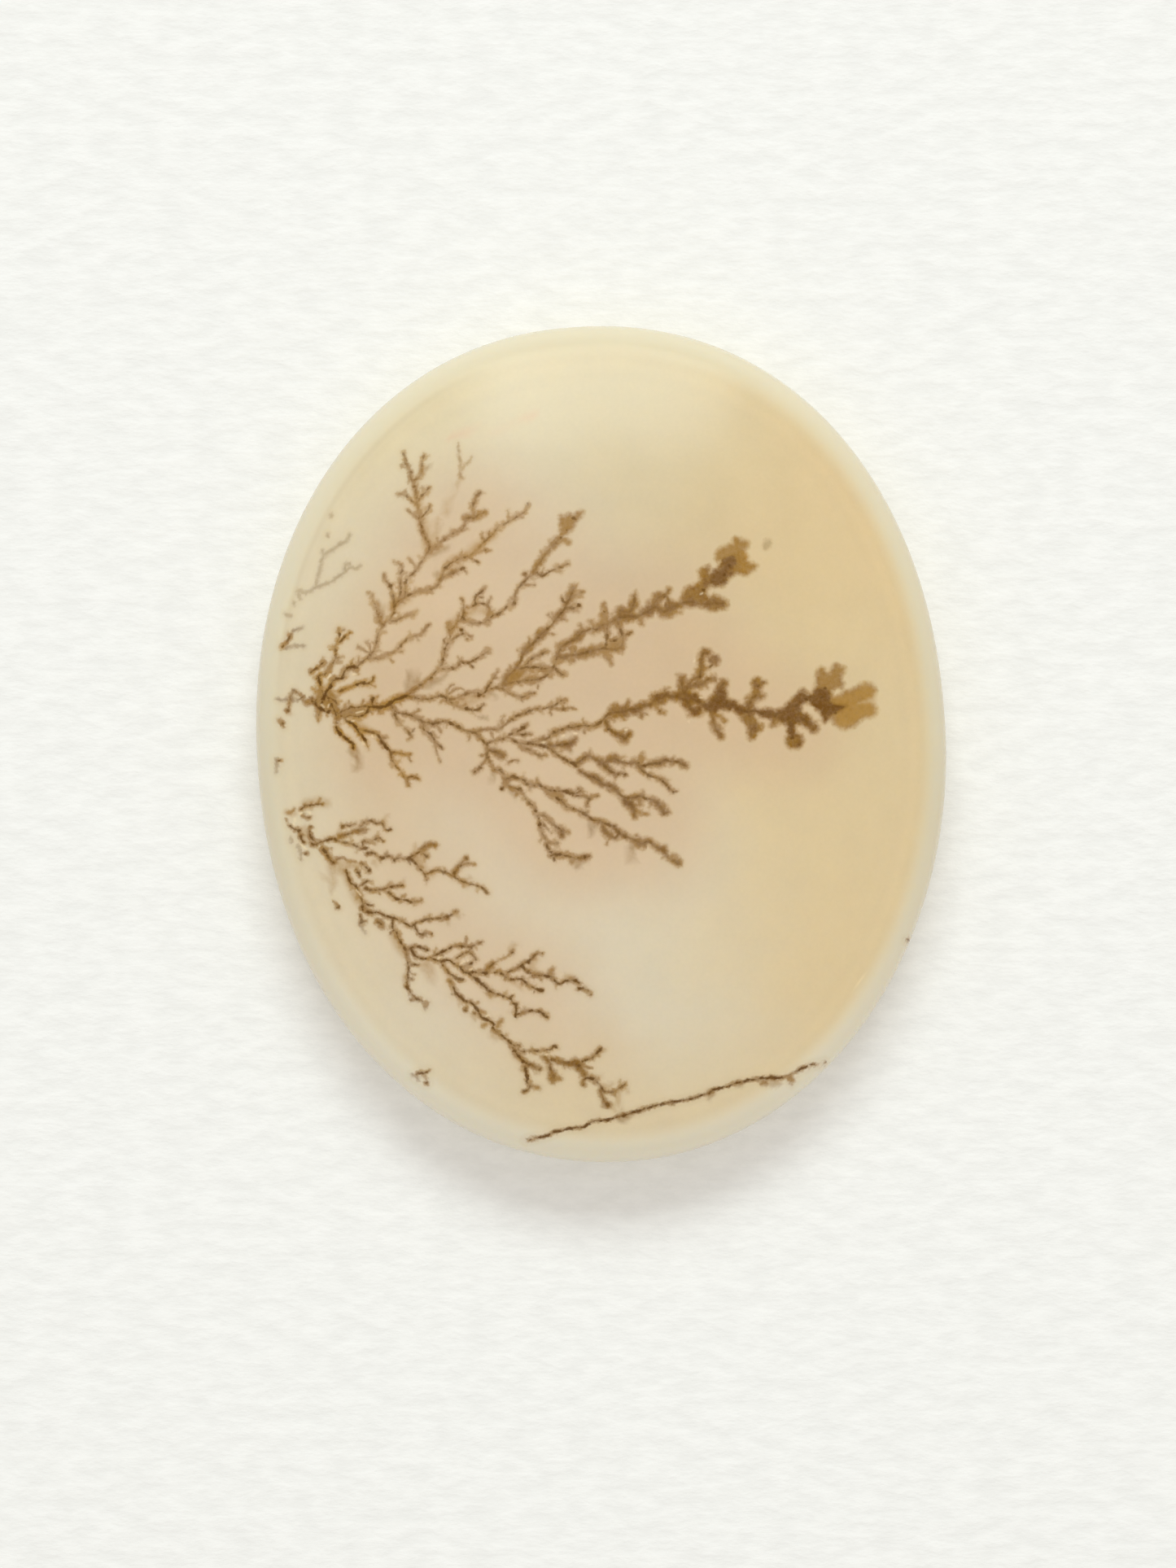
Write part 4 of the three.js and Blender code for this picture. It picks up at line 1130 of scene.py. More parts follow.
def divide_cells(stone, chosen):
    """The chosen cells are cut into quarters."""
    select_only(stone)
    bpy.ops.object.mode_set(mode="EDIT")
    bpy.ops.mesh.select_mode(type="FACE")
    bpy.ops.mesh.select_all(action="DESELECT")
    bpy.ops.object.mode_set(mode="OBJECT")
    stone.data.polygons.foreach_set("select", chosen)
    bpy.ops.object.mode_set(mode="EDIT")
    bpy.ops.mesh.subdivide(number_cuts=1, ngon=True)
    bpy.ops.object.mode_set(mode="OBJECT")


def lift_to_dome(mesh):
    """New corners lie on the flat cells that they divide, so they are lifted onto the dome."""
    places = vertex_places(mesh)
    radius = section_radius(places[:, 0], places[:, 1])
    on_dome = (radius <= DOME_EDGE) & (places[:, 2] > DOME_FROM)
    places[on_dome, 2] = dome_height(radius[on_dome])
    set_vertex_places(mesh, places)


def refine_stone(stone):
    """The dome's cells are divided where branches run, so that thin threads stay sharp."""
    for reach in REFINE_REACH:
        divide_cells(stone, cells_by_branches(stone.data, reach))
        lift_to_dome(stone.data)


def smooth_step(value):
    value = np.clip(value, 0, 1)
    return value * value * (3 - 2 * value)


class LookMix:
    """Values of the looks near each point, mixed by how strongly each look pulls there."""

    def __init__(self, count, names):
        self.weight = np.full(count, TINY)
        self.sums = {name: np.zeros(count) for name in names}

    def add(self, near, look, pull):
        for name, total in self.sums.items():
            total[near] += look[name] * pull
        self.weight[near] += pull

    def values(self):
        return {name: total / self.weight for name, total in self.sums.items()}


def pull_at(depth, limits, rate):
    """How strongly a look counts where a point lies this deep in its stain or thread."""
    return np.exp(np.clip(depth, *limits) * rate)


def branch_values(points, top):
    """Where stains, threads and hazes lie, and the looks of those near each point, mixed."""
    count = len(points)
    depth = np.full(count, STAIN_FAR)
    thread = np.full(count, THREAD_FAR)
    haze = np.zeros(count)
    haze_gold = np.full(count, PLAIN_HAZE_GOLD)
    stains = LookMix(count, ("strength", "gold", "blur"))
    threads = LookMix(count, ("dark",))
    for look, path, filled in SHAPES:
        near = close_by(points, path, look["stain"] - STAIN_FAR)
        near = near[top[near]]
        if not len(near):
            continue
        reach, away = shape_depth(points[near], look, path, filled)
        if look.get("soft"):
            mist = look["strength"] * smooth_step(reach / look["blur"] + 0.5)
            haze_gold[near] = np.where(mist > haze[near], look["gold"], haze_gold[near])
            haze[near] = np.maximum(haze[near], mist)
            continue
        depth[near] = np.maximum(depth[near], reach)
        pull = pull_at(reach, STAIN_LIMITS, STAIN_RATE) * look.get("pull", 1.0)
        stains.add(near, look, pull)
        if look["thread"] and not filled:
            line = look["thread"] / 2 - away
            thread[near] = np.maximum(thread[near], line)
            threads.add(near, look, pull_at(line, THREAD_LIMITS, THREAD_RATE))
    return {"depth": depth, **stains.values(), "thread": thread, **threads.values(),
            "haze": haze, "haze_gold": haze_gold}


def fan_values(points, top):
    """How much the milk is warmed by the ferns around it, from 0 to 1."""
    fan = np.zeros(len(points))
    upper = points[top]
    for fern, share in FANNED:
        for look, path in branches_of(fern):
            middle = np.array(path, dtype=float).mean(0)
            near = np.exp(-((upper - middle) ** 2).sum(1) / (2 * FAN_SPREAD ** 2))
            fan[top] += look["strength"] * share * near
    return 1 - np.exp(-fan * FAN_RATE)


def glint_values(points, top):
    """How bright the small painted glints and the white fleck are."""
    glint = np.zeros(len(points))
    for path in GLINTS:
        near = close_by(points, path, GLINT_MARGIN)
        away, _, _ = nearest_on(points[near], path)
        glint[near] = np.maximum(glint[near], smooth_step(GLINT_FADES - away / GLINT_SIZE))
    away = np.hypot(points[:, 0] - FLECK[0], points[:, 1] - FLECK[1])
    fleck = FLECK_STRENGTH * smooth_step(GLINT_FADES - away / FLECK_SIZE)
    return top * np.maximum(glint, fleck)


def streak_values(points, top):
    streak = np.zeros(len(points))
    near = close_by(points, STREAK, STREAK_MARGIN)
    away, _, _ = nearest_on(points[near], STREAK)
    streak[near] = smooth_step(STREAK_FADES - away / STREAK_WIDTH)
    return top * streak


def give_pattern(stone):
    """Writes the ferns, the painted glints and the streak to the mesh as values for the finish to read.
    """
    places = vertex_places(stone.data)
    points = photo_place(places)
    top = places[:, 2] > GIRDLE_TOP
    values = branch_values(points, top)
    values["fan"] = fan_values(points, top)
    values["glint"] = glint_values(points, top)
    values["streak"] = streak_values(points, top)
    values["inward"] = HALF_WIDTH - section_radius(places[:, 0], places[:, 1])
    for name, value in values.items():
        layer = stone.data.attributes.new(name, "FLOAT", "POINT")
        layer.data.foreach_set("value", value.astype(np.float32))


def from_above(x, y):
    return np.stack([DOME_CORNER[0] + (x + WIDTH / 2 + SHEET_MARGIN) * DOME_SCALE,
                     DOME_CORNER[1] + (y + LENGTH / 2) * DOME_SCALE], axis=1)


def from_below(x, y):
    return np.stack([BACK_CORNER[0] + (x + WIDTH / 2 + SHEET_MARGIN) * BACK_SCALE,
                     BACK_CORNER[1] + y * BACK_SCALE], axis=1)


def along_side(x, y, z, lower_half):
    """Places in the strip of one half of the side, which runs along from one end to the other."""
    angle = np.arctan2(y + MIDDLE[1], x + MIDDLE[0])
    if lower_half:
        angle = np.where(angle > 0.5 * math.pi, angle - 2 * math.pi, angle) + math.pi
    else:
        angle = np.where(angle < -0.5 * math.pi, angle + 2 * math.pi, angle)
    row = STRIP_ROWS[0] if lower_half else STRIP_ROWS[1]
    inward = HALF_WIDTH - section_radius(x, y)
    return np.stack([STRIP_START + angle / math.pi * STRIP_LENGTH * STRIP_SCALE,
                     row + (z + STRIP_FOOT - inward) * STRIP_SCALE * STRIP_HEIGHT], axis=1)


def give_uv(stone):
    """Dome and rim are laid out as seen from above, the side in two strips, the back beside."""
    mesh = stone.data
    places = vertex_places(mesh)
    layer = mesh.uv_layers.new(name="OFBake")
    corners = np.empty(len(mesh.loops), dtype=int)
    mesh.loops.foreach_get("vertex_index", corners)
    uv = np.zeros((len(corners), 2))
    for face in mesh.polygons:
        span = slice(face.loop_start, face.loop_start + face.loop_total)
        x, y, z = places[corners[span]].T
        if face.center.z > GIRDLE_TOP:
            uv[span] = from_above(x, y)
        elif face.normal.z < BACK_FACES_DOWN:
            uv[span] = from_below(x, y)
        else:
            uv[span] = along_side(x, y, z, face.center.y + MIDDLE[1] < 0)
    layer.data.foreach_set("uv", uv.ravel())


def node(tree, kind, **settings):
    made = tree.nodes.new(kind)
    for name, value in settings.items():
        setattr(made, name, value)
    return made


class Finish:
    """A few short ways to lay out a material's nodes."""

    def __init__(self, name):
        self.material = bpy.data.materials.new(name)
        self.material.use_nodes = True
        self.tree = self.material.node_tree
        self.shader = self.tree.nodes["Principled BSDF"]

    def join(self, value, socket):
        if isinstance(value, bpy.types.NodeSocket):
            self.tree.links.new(value, socket)
        else:
            socket.default_value = value

    def value(self, name):
        return node(self.tree, "ShaderNodeAttribute", attribute_name=name).outputs["Fac"]

    def math(self, operation, a, b=0.0, c=0.0):
        made = node(self.tree, "ShaderNodeMath", operation=operation)
        for socket, value in zip(made.inputs, (a, b, c)):
            self.join(value, socket)
        return made.outputs[0]

    def plus(self, first, second):
        return self.math("ADD", first, second)

    def times(self, first, second):
        return self.math("MULTIPLY", first, second)

    def scaled(self, value, factor, base):
        return self.math("MULTIPLY_ADD", value, factor, base)

    def ramp(self, value, low, high, start=0.0, end=1.0):
        made = node(self.tree, "ShaderNodeMapRange", interpolation_type="SMOOTHSTEP")
        self.join(value, made.inputs["Value"])
        for name, number in (("From Min", low), ("From Max", high), ("To Min", start),
                             ("To Max", end)):
            self.join(number, made.inputs[name])
        return made.outputs["Result"]

    def mix(self, share, first, second, blend="MIX"):
        made = node(self.tree, "ShaderNodeMix", data_type="RGBA", blend_type=blend)
        made.clamp_factor = True
        self.join(share, made.inputs["Factor"])
        self.join(first, made.inputs["A"])
        self.join(second, made.inputs["B"])
        return made.outputs["Result"]

    def noise(self, place, scale, detail, roughness):
        made = node(self.tree, "ShaderNodeTexNoise")
        self.join(place, made.inputs["Vector"])
        made.inputs["Scale"].default_value = scale
        made.inputs["Detail"].default_value = detail
        made.inputs["Roughness"].default_value = roughness
        return made.outputs["Fac"]

    def place(self, scale=(1000, 1000, 1000), rotation=(0, 0, 0)):
        """Places on the piece, in millimetres unless another scale is given."""
        spot = node(self.tree, "ShaderNodeTexCoord")
        mapping = node(self.tree, "ShaderNodeMapping")
        self.tree.links.new(spot.outputs["Object"], mapping.inputs["Vector"])
        mapping.inputs["Scale"].default_value = scale
        mapping.inputs["Rotation"].default_value = rotation
        return mapping.outputs["Vector"]

    def bump(self, height, strength, depth):
        made = node(self.tree, "ShaderNodeBump")
        made.inputs["Strength"].default_value = strength
        made.inputs["Distance"].default_value = depth
        self.join(height, made.inputs["Height"])
        self.join(made.outputs["Normal"], self.shader.inputs["Normal"])


def linear(red, green, blue):
    """A colour given as on screen, from 0 to 255, as the shader wants it: the usual curve of
    screens is undone."""
    parts = []
    for part in (red, green, blue):
        part = part / 255
        parts.append(part / 12.92 if part <= 0.04045 else ((part + 0.055) / 1.055) ** 2.4)
    return (*parts, 1.0)


# Colours of the stone, of the mineral in it, of the painted light on it and of the paper.
COOL_MILK = linear(217, 206, 182)
HONEY = linear(218, 198, 158)
DEEP_HONEY = linear(218, 193, 147)
CREAM = linear(222, 207, 168)
ROSE_MILK = linear(211, 183, 149)
# Painted light on the rim: paler where the thin edge lets light through, brighter towards the bottom.
PAINTED_PALE_RIM = linear(222, 212, 186)
PAINTED_LIT_RIM = linear(240, 232, 212)
GREY_BROWN = linear(152, 124, 78)
DEEP_BROWN = linear(124, 82, 22)
BROWN = linear(160, 116, 36)
GOLD_BROWN = linear(183, 138, 56)
DARK_BROWN = linear(104, 66, 10)
HAZE_BROWN = linear(150, 114, 70)
HAZE_GOLD = linear(172, 126, 50)
ROSY_BROWN = linear(140, 98, 56)
# Painted glints: small bright specks of light.
PAINTED_GLINT_WHITE = linear(253, 233, 192)
PINK_STREAK = linear(226, 190, 160)
PAPER_WHITE = linear(252, 250, 245)
PAPER_SHADE = linear(245, 243, 238)

# Uneven textures in the stone and the paper: how many to the millimetre, detail and roughness.
CLOUDS = (0.22, 3, 0.55)
WISPS = (0.9, 4, 0.6)
GRAIN = (9.0, 3, 0.7)
LOBES = (9.0, 2, 0.55)
BEADS = (6.5, 2, 0.6)
ROSY_PATCHES = (1.7, 2, 0.5)
DASHES = (2.6, 2, 0.5)
SCRATCHES = (1.0, 3, 0.6)
FIBRES = (1.0, 4, 0.6)

# Where a change in the finish starts and ends, as a rule in millimetres from the stone's middle
# or inward from its edge, and where four numbers are given, also from which to which strength.
# The borders of the ground's colours drift with the clouds, and some lean.
DRIFT = (5.0, -2.5)
HONEY_RIGHT = (-1.0, 5.5)
HONEY_LEAN = 0.25
HONEY_LEFT = (-3.0, -6.5, 0.0, 0.3)
HONEY_LOW = (-6.5, -9.5)
HONEY_LOW_ACROSS = (-5.0, -0.5, 0.15, 0.6)
CREAM_AND_LIGHT_HIGH = (5.2, 10.2, 0.0, 0.75)
CREAM_AND_LIGHT_LEAN = -0.12
ROSE_INWARD = (0.8, 3.6, 0.0, 0.8)
RIGHT_SHOULDER = ((1.5, 6.0), (0.0, 5.0))
LEFT_SHOULDER = ((1.0, -3.0), (1.0, 4.0))
SHOULDER_HONEY = 0.45

# Tone of the milk: its middle and the shares of the wisps and the grain. Painted light and shade,
# darker towards the top and lighter towards the bottom and in the shoulders. The faint layers
# along the edge, with how fast they follow each other inward and upward and how the wisps bend them.
SHADE_MIDDLE = 0.985
SHADE_WISPS = 0.1
SHADE_GRAIN = 0.07
PAINTED_LIGHT_ALONG = (11.0, -9.5, -0.1, 0.1)
PAINTED_LIGHT_SHOULDER = 0.05
LAYERS_INWARD = 11.0
LAYERS_UPWARD = 6.0
LAYERS_BEND = 2.2
LAYERS_SHOW_INWARD = (1.9, 0.5)
LAYERS_SHOW_UPWARD = (2.3, 1.4, 0.014, 0.028)

# The rim, paler with painted light where its thin edge lets light through and brighter towards
# the bottom, a thin line of painted shade in it at the upper left where the rim's slope starts,
# and the pink streak.
PAINTED_RIM_INWARD = (0.85, 0.3, 0.0, 0.8)
PAINTED_LIT_RIM_ALONG = (-1.0, -9.5)
RIM_SHADE_LINE_INWARD = 0.62
RIM_SHADE_LINE_FADES = (0.12, 0.0)
RIM_SHADE_LINE_ACROSS = (-2.0, -5.0)
RIM_SHADE_LINE_ALONG = (0.0, 4.0, 0.0, 0.09)
STREAK_STRENGTH = 0.4

# Stains, by their depth in photo pixels: the bright band around them, how the lobes break their
# edge, how far it fades beside the look's blur, and the golden veil over it. Pairs of factor and
# base say how the grain and the beads change the cover and the hazes.
BAND_OUTSIDE = (-8.0, -4.0)
BAND_INSIDE = (-2.0, -4.5)
BAND_STRENGTH = 0.15
HAZE_BEADS = (1.2, 0.4)
EDGE_LOBES = 6.5
EDGE_SHIFT = -3.05
EDGE_BLUR = 0.65
COVER_GRAIN = (0.5, 0.75)
VEIL_DEPTH = (-6.0, 0.5, 0.0, 0.2)

# From which gold on a stain turns from grey brown to deep brown, brown and golden brown, how the
# beads and the depth change its gold, and where it is rosy.
GOLD_BEADS = 0.5
GOLD_DEPTH = (5.0, -1.0, -0.04, 0.08)
TO_DEEP_BROWN = (-0.15, 0.06)
TO_BROWN = (0.25, 0.55)
TO_GOLD_BROWN = (0.6, 1.0)
ROSY_PARTS = (0.42, 0.62, 0.0, 0.45)
ROSY_DEPTH = (6.0, 0.5, 0.12, 1.0)

# Threads: how the beads thicken and thin them, their edge in photo pixels, where they are broken
# into dashes, and from which darkness on they run through. Then the strength of the painted glints.
THREAD_BEADS = 9.0
THREAD_SHIFT = -4.6
THREAD_EDGE = (-1.0, 1.6)
DASHED_PARTS = (0.4, 0.56, 0.45, 1.0)
UNBROKEN_DARK = (0.55, 0.85)
GLINT_STRENGTH = 0.5

# Polish: the wisps' share in the dome's roughness and its base, how much duller the sanded edge
# of the back is, and the fine ripples and scratches, with their depth in metres.
POLISH_WISPS = (0.12, 0.17)
SANDED_UPWARD = (0.7, 0.0, 0.0, 0.32)
SCRATCH_SCALE = (9000, 700, 700)
SCRATCH_TURN = (0, 0, 0.5)
RIPPLES_GRAIN = 0.4
RIPPLES_SCRATCHES = 0.6
RIPPLES_STRENGTH = 0.05
RIPPLES_DEPTH = 0.00002

# How milky the stone is, and how far its red, green and blue light spreads in it.
MILKINESS = 0.85
LIGHT_SPREAD = (1.0, 0.85, 0.6)
LIGHT_SPREAD_SCALE = 2.0 * MM
AGATE_IOR = 1.54
AGATE_SPECULAR = 0.2


class AgateFinish(Finish):
    """The stone's finish, with the places, values and textures that its parts share."""

    def __init__(self):
        super().__init__("milky_agate")
        self.mm = self.place()
        split = node(self.tree, "ShaderNodeSeparateXYZ")
        self.tree.links.new(self.mm, split.inputs["Vector"])
        self.x, self.y, self.z = split.outputs
        self.inward = self.value("inward")
        self.depth = self.value("depth")
        self.strength = self.value("strength")
        self.wisps = self.noise(self.mm, *WISPS)
        self.grain = self.noise(self.mm, *GRAIN)
        self.beads = self.noise(self.mm, *BEADS)
        self.right_shoulder = self.shoulder(*RIGHT_SHOULDER)
        self.left_shoulder = self.shoulder(*LEFT_SHOULDER)

    def shoulder(self, across, along):
        return self.times(self.ramp(self.x, *across), self.ramp(self.y, *along))


def milk_colour(finish):
    """Cool milk in the lower middle, honey around it, cream at the top that is partly painted light,
    rosy by the ferns.
    """
    drift = finish.scaled(finish.noise(finish.mm, *CLOUDS), *DRIFT)
    right = finish.plus(finish.scaled(finish.y, HONEY_LEAN, finish.x), drift)
    ground = finish.mix(finish.ramp(right, *HONEY_RIGHT), COOL_MILK, HONEY)
    left = finish.ramp(finish.plus(finish.x, drift), *HONEY_LEFT)
    ground = finish.mix(left, ground, HONEY)
    low = finish.ramp(finish.plus(finish.y, drift), *HONEY_LOW)
    low = finish.times(low, finish.ramp(finish.x, *HONEY_LOW_ACROSS))
    ground = finish.mix(low, ground, HONEY)
    # Cream at the top: partly the milk's own tone, partly painted light from above.
    high = finish.ramp(finish.scaled(finish.x, CREAM_AND_LIGHT_LEAN, finish.y), *CREAM_AND_LIGHT_HIGH)
    ground = finish.mix(high, ground, CREAM)
    fan = finish.times(finish.value("fan"), finish.ramp(finish.inward, *ROSE_INWARD))
    ground = finish.mix(fan, ground, ROSE_MILK)
    return finish.mix(finish.times(finish.right_shoulder, SHOULDER_HONEY), ground, DEEP_HONEY)


def edge_layers(finish):
    """Faint light and dark layers that follow the stone's edge."""
    layers = finish.plus(finish.times(finish.inward, LAYERS_INWARD),
                         finish.times(finish.z, LAYERS_UPWARD))
    layers = finish.math("SINE", finish.scaled(finish.wisps, LAYERS_BEND, layers))
    shown = finish.times(finish.ramp(finish.inward, *LAYERS_SHOW_INWARD),
                         finish.ramp(finish.z, *LAYERS_SHOW_UPWARD))
    return finish.times(layers, shown)


def milk_mottle_and_painted_light(finish, ground):
    """Wisps, grain, the layers along the edge, and painted light: darker on top, lighter below and in
    the shoulders.
    """
    mottle = finish.scaled(finish.wisps, SHADE_WISPS, finish.times(finish.grain, SHADE_GRAIN))
    # Painted light and shade: darker towards the top, lighter towards the bottom and in the upper
    # shoulders.
    painted_light = finish.ramp(finish.y, *PAINTED_LIGHT_ALONG)
    for shoulder in (finish.left_shoulder, finish.right_shoulder):
        painted_light = finish.scaled(shoulder, PAINTED_LIGHT_SHOULDER, painted_light)
    shade = finish.plus(finish.plus(mottle, edge_layers(finish)), SHADE_MIDDLE)
    return finish.mix(1.0, ground, finish.plus(shade, painted_light), "MULTIPLY")


def painted_rim_and_streak(finish, ground):
    # Painted light: the rim paler where its thin edge lets light through, brighter towards the bottom.
    rim = finish.mix(finish.ramp(finish.y, *PAINTED_LIT_RIM_ALONG), PAINTED_PALE_RIM, PAINTED_LIT_RIM)
    ground = finish.mix(finish.ramp(finish.inward, *PAINTED_RIM_INWARD), ground, rim)
    # Painted shade: a thin grey line inside the rim at the upper left, where its slope starts.
    off_line = finish.math("ABSOLUTE", finish.plus(finish.inward, -RIM_SHADE_LINE_INWARD))
    line = finish.times(finish.ramp(off_line, *RIM_SHADE_LINE_FADES),
                        finish.ramp(finish.x, *RIM_SHADE_LINE_ACROSS))
    line = finish.times(line, finish.ramp(finish.y, *RIM_SHADE_LINE_ALONG))
    ground = finish.mix(line, ground, GREY_BROWN)
    streak = finish.times(finish.value("streak"), STREAK_STRENGTH)
    return finish.mix(streak, ground, PINK_STREAK)


def band_and_hazes(finish, ground):
    """The bright band around the stains, and the hazes that lie deep under them."""
    band = finish.times(finish.ramp(finish.depth, *BAND_OUTSIDE),
                        finish.ramp(finish.depth, *BAND_INSIDE))
    ground = finish.mix(finish.times(band, BAND_STRENGTH), ground, CREAM)
    haze = finish.times(finish.value("haze"), finish.scaled(finish.beads, *HAZE_BEADS))
    haze_colour = finish.mix(finish.value("haze_gold"), HAZE_BROWN, HAZE_GOLD)
    return finish.mix(haze, ground, haze_colour)


def stain_pigment(finish):
    """The stain's own colour, from grey brown to golden brown, with rosy patches."""
    gold = finish.scaled(finish.beads, GOLD_BEADS,
                         finish.plus(finish.value("gold"), -GOLD_BEADS / 2))
    gold = finish.plus(gold, finish.ramp(finish.depth, *GOLD_DEPTH))
    pigment = finish.mix(finish.ramp(gold, *TO_DEEP_BROWN), GREY_BROWN, DEEP_BROWN)
    pigment = finish.mix(finish.ramp(gold, *TO_BROWN), pigment, BROWN)
    pigment = finish.mix(finish.ramp(gold, *TO_GOLD_BROWN), pigment, GOLD_BROWN)
    rosy = finish.ramp(finish.noise(finish.mm, *ROSY_PATCHES), *ROSY_PARTS)
    rosy = finish.times(rosy, finish.ramp(finish.depth, *ROSY_DEPTH))
    return finish.mix(rosy, pigment, ROSY_BROWN)


def stained(finish, ground):
    """Stains around the branches, their edge broken into lobes by the mineral's own grain."""
    lobes = finish.noise(finish.mm, *LOBES)
    broken = finish.scaled(lobes, EDGE_LOBES, finish.plus(finish.depth, EDGE_SHIFT))
    veil = finish.times(finish.ramp(broken, *VEIL_DEPTH), finish.strength)
    colour = finish.mix(veil, ground, GOLD_BROWN)
    blur = finish.value("blur")
    edge = finish.ramp(broken, finish.times(blur, -EDGE_BLUR), finish.times(blur, EDGE_BLUR))
    cover = finish.times(finish.strength, edge)
    cover = finish.times(cover, finish.scaled(finish.grain, *COVER_GRAIN))
    return finish.mix(cover, colour, stain_pigment(finish))


def threaded(finish, colour):
    """Dark threads in the stains, thicker and thinner along their way, and the painted glints."""
    ragged = finish.scaled(finish.beads, THREAD_BEADS,
                           finish.plus(finish.value("thread"), THREAD_SHIFT))
    dark = finish.value("dark")
    dashes = finish.ramp(finish.noise(finish.mm, *DASHES), *DASHED_PARTS)
    dashes = finish.math("MAXIMUM", dashes, finish.ramp(dark, *UNBROKEN_DARK))
    line = finish.times(finish.ramp(ragged, *THREAD_EDGE), finish.times(dark, dashes))
    colour = finish.mix(line, colour, DARK_BROWN)
    glint = finish.times(finish.value("glint"), GLINT_STRENGTH)
    return finish.mix(glint, colour, PAINTED_GLINT_WHITE)


def polish(finish):
    """Glossy over the dome, sanded and duller towards the flat back."""
    gloss = finish.plus(finish.scaled(finish.wisps, *POLISH_WISPS),
                        finish.ramp(finish.z, *SANDED_UPWARD))
    finish.join(gloss, finish.shader.inputs["Roughness"])
    scratches = finish.noise(finish.place(SCRATCH_SCALE, SCRATCH_TURN), *SCRATCHES)
    ripples = finish.scaled(finish.grain, RIPPLES_GRAIN,
                            finish.times(scratches, RIPPLES_SCRATCHES))
    finish.bump(ripples, RIPPLES_STRENGTH, RIPPLES_DEPTH)


def spread_light(shader):
    """Light goes into the milky stone and comes out again a little further on."""
    shader.subsurface_method = "RANDOM_WALK"
    shader.inputs["Subsurface Weight"].default_value = MILKINESS
    shader.inputs["Subsurface Radius"].default_value = LIGHT_SPREAD
    shader.inputs["Subsurface Scale"].default_value = LIGHT_SPREAD_SCALE
    shader.inputs["IOR"].default_value = AGATE_IOR
    shader.inputs["Specular IOR Level"].default_value = AGATE_SPECULAR


def agate_finish():
    finish = AgateFinish()
    colour = milk_colour(finish)
    for layer in (milk_mottle_and_painted_light, painted_rim_and_streak, band_and_hazes, stained, threaded):
        colour = layer(finish, colour)
    finish.join(colour, finish.shader.inputs["Base Color"])
    polish(finish)
    spread_light(finish.shader)
    return finish.material


def make_stone():
    stone = stone_blank()
    shape_stone(stone)
    refine_stone(stone)
    give_pattern(stone)
    give_uv(stone)
    places = vertex_places(stone.data)
    set_vertex_places(stone.data, places * MM)
    select_only(stone)
    bpy.ops.object.mode_set(mode="EDIT")
    bpy.ops.mesh.select_all(action="SELECT")
    bpy.ops.mesh.normals_make_consistent(inside=False)
    bpy.ops.object.mode_set(mode="OBJECT")
    bpy.ops.object.shade_smooth()
    stone.data.materials.clear()
    stone.data.materials.append(agate_finish())
    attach(stone, "root")
    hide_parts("stone")
    return stone


# The felted paper: its size in metres, how its fibres run, how much they shade and roughen it,
# and how high the felt stands, in metres.
PAPER_SIZE = 0.8
FIBRE_SCALE = (1100, 2600, 1000)
FIBRE_SHADE = (0.3, 0.7)
PAPER_ROUGHNESS = (0.1, 0.85)
PAPER_SPECULAR = 0.1
FELT_STRENGTH = 0.35
FELT_HEIGHT = 0.00012


def paper_finish():
    finish = Finish("plain_paper")
    fibres = finish.noise(finish.place(FIBRE_SCALE), *FIBRES)
    colour = finish.mix(finish.ramp(fibres, *FIBRE_SHADE), PAPER_SHADE, PAPER_WHITE)
    finish.join(colour, finish.shader.inputs["Base Color"])
    finish.join(finish.scaled(fibres, *PAPER_ROUGHNESS), finish.shader.inputs["Roughness"])
    finish.bump(fibres, FELT_STRENGTH, FELT_HEIGHT)
    finish.shader.inputs["Specular IOR Level"].default_value = PAPER_SPECULAR
    return finish.material


def paper_floor():
    deselect_all()
    bpy.ops.mesh.primitive_plane_add(size=PAPER_SIZE)
    floor = bpy.context.object
    floor.name = "paper"
    floor.data.materials.append(paper_finish())


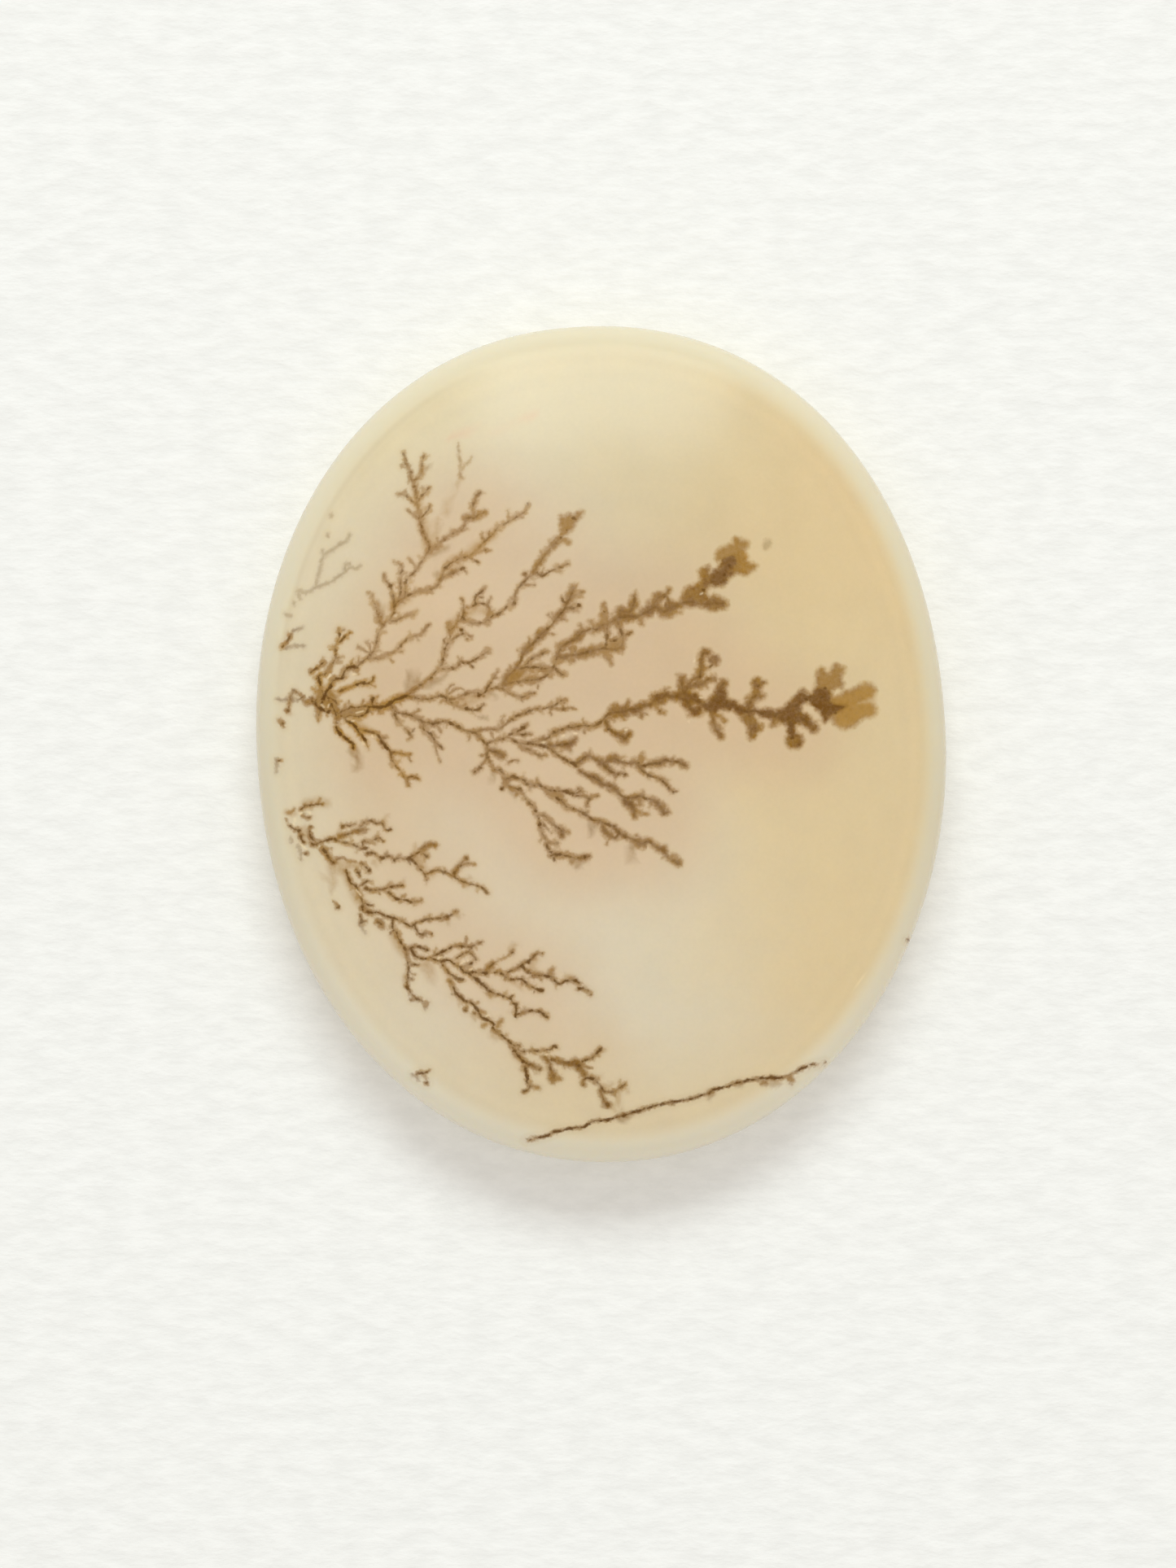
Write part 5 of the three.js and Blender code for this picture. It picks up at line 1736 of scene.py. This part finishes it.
# The lights: distances and sizes in metres, angles in degrees and power in watts. The window
# stands beyond the top of the stone, this high over the paper and this far round to the side.
WINDOW_DISTANCE = 0.7
WINDOW_WIDTH = 0.46
WINDOW_DEPTH = 0.22
WINDOW_HEIGHT_ANGLE = 42
WINDOW_TURN = 1
WINDOW_POWER = 2.42
SKYLIGHT_HEIGHT = 0.7
SKYLIGHT_SIZE = 0.1
SKYLIGHT_POWER = 0.95
LAMP_COLOUR = (0.87, 0.97, 1.0)
ROOM_LIGHT = 0.53
ROOM_COLOUR = (1.0, 0.94, 0.9, 1)

# The camera sees what lies between these distances, in metres.
CLIP = (0.004, 10)


def area_light(name, width, depth, power, place, tilt, turn):
    light = bpy.data.lights.new(name, "AREA")
    light.shape = "RECTANGLE"
    light.size = width
    light.size_y = depth
    light.energy = power
    light.color = LAMP_COLOUR
    lamp = bpy.data.objects.new(name, light)
    bpy.context.scene.collection.objects.link(lamp)
    lamp.location = place
    lamp.rotation_euler = (tilt, 0, turn)
    return lamp


def studio_light():
    """One broad window beyond the top of the stone, a small soft light high over it, which
    leaves no gleam, and even light from the whole room."""
    rise = math.radians(WINDOW_HEIGHT_ANGLE)
    turn = math.radians(WINDOW_TURN)
    place = (WINDOW_DISTANCE * math.cos(rise) * math.sin(turn),
             WINDOW_DISTANCE * math.cos(rise) * math.cos(turn),
             WINDOW_DISTANCE * math.sin(rise))
    area_light("window", WINDOW_WIDTH, WINDOW_DEPTH, WINDOW_POWER, place,
               rise - math.pi / 2, -turn)
    skylight = area_light("skylight", SKYLIGHT_SIZE, SKYLIGHT_SIZE, SKYLIGHT_POWER,
                          (0, 0, SKYLIGHT_HEIGHT), 0, 0)
    skylight.visible_glossy = False
    world = bpy.data.worlds.new("room")
    world.use_nodes = True
    background = world.node_tree.nodes["Background"]
    background.inputs["Color"].default_value = ROOM_COLOUR
    background.inputs["Strength"].default_value = ROOM_LIGHT
    bpy.context.scene.world = world


def photo_camera():
    data = bpy.data.cameras.new("photo_camera")
    data.lens = LENS
    data.sensor_width = SENSOR
    data.clip_start, data.clip_end = CLIP
    camera = bpy.data.objects.new("photo_camera", data)
    bpy.context.scene.collection.objects.link(camera)
    camera.location = (CAMERA_OVER[0] * MM, CAMERA_OVER[1] * MM,
                       (CAMERA_HEIGHT + SHARP_LEVEL) * MM)
    bpy.context.scene.camera = camera


photo_camera()
studio_light()
paper_floor()
make_stone()
bpy.context.scene.view_settings.view_transform = "Standard"
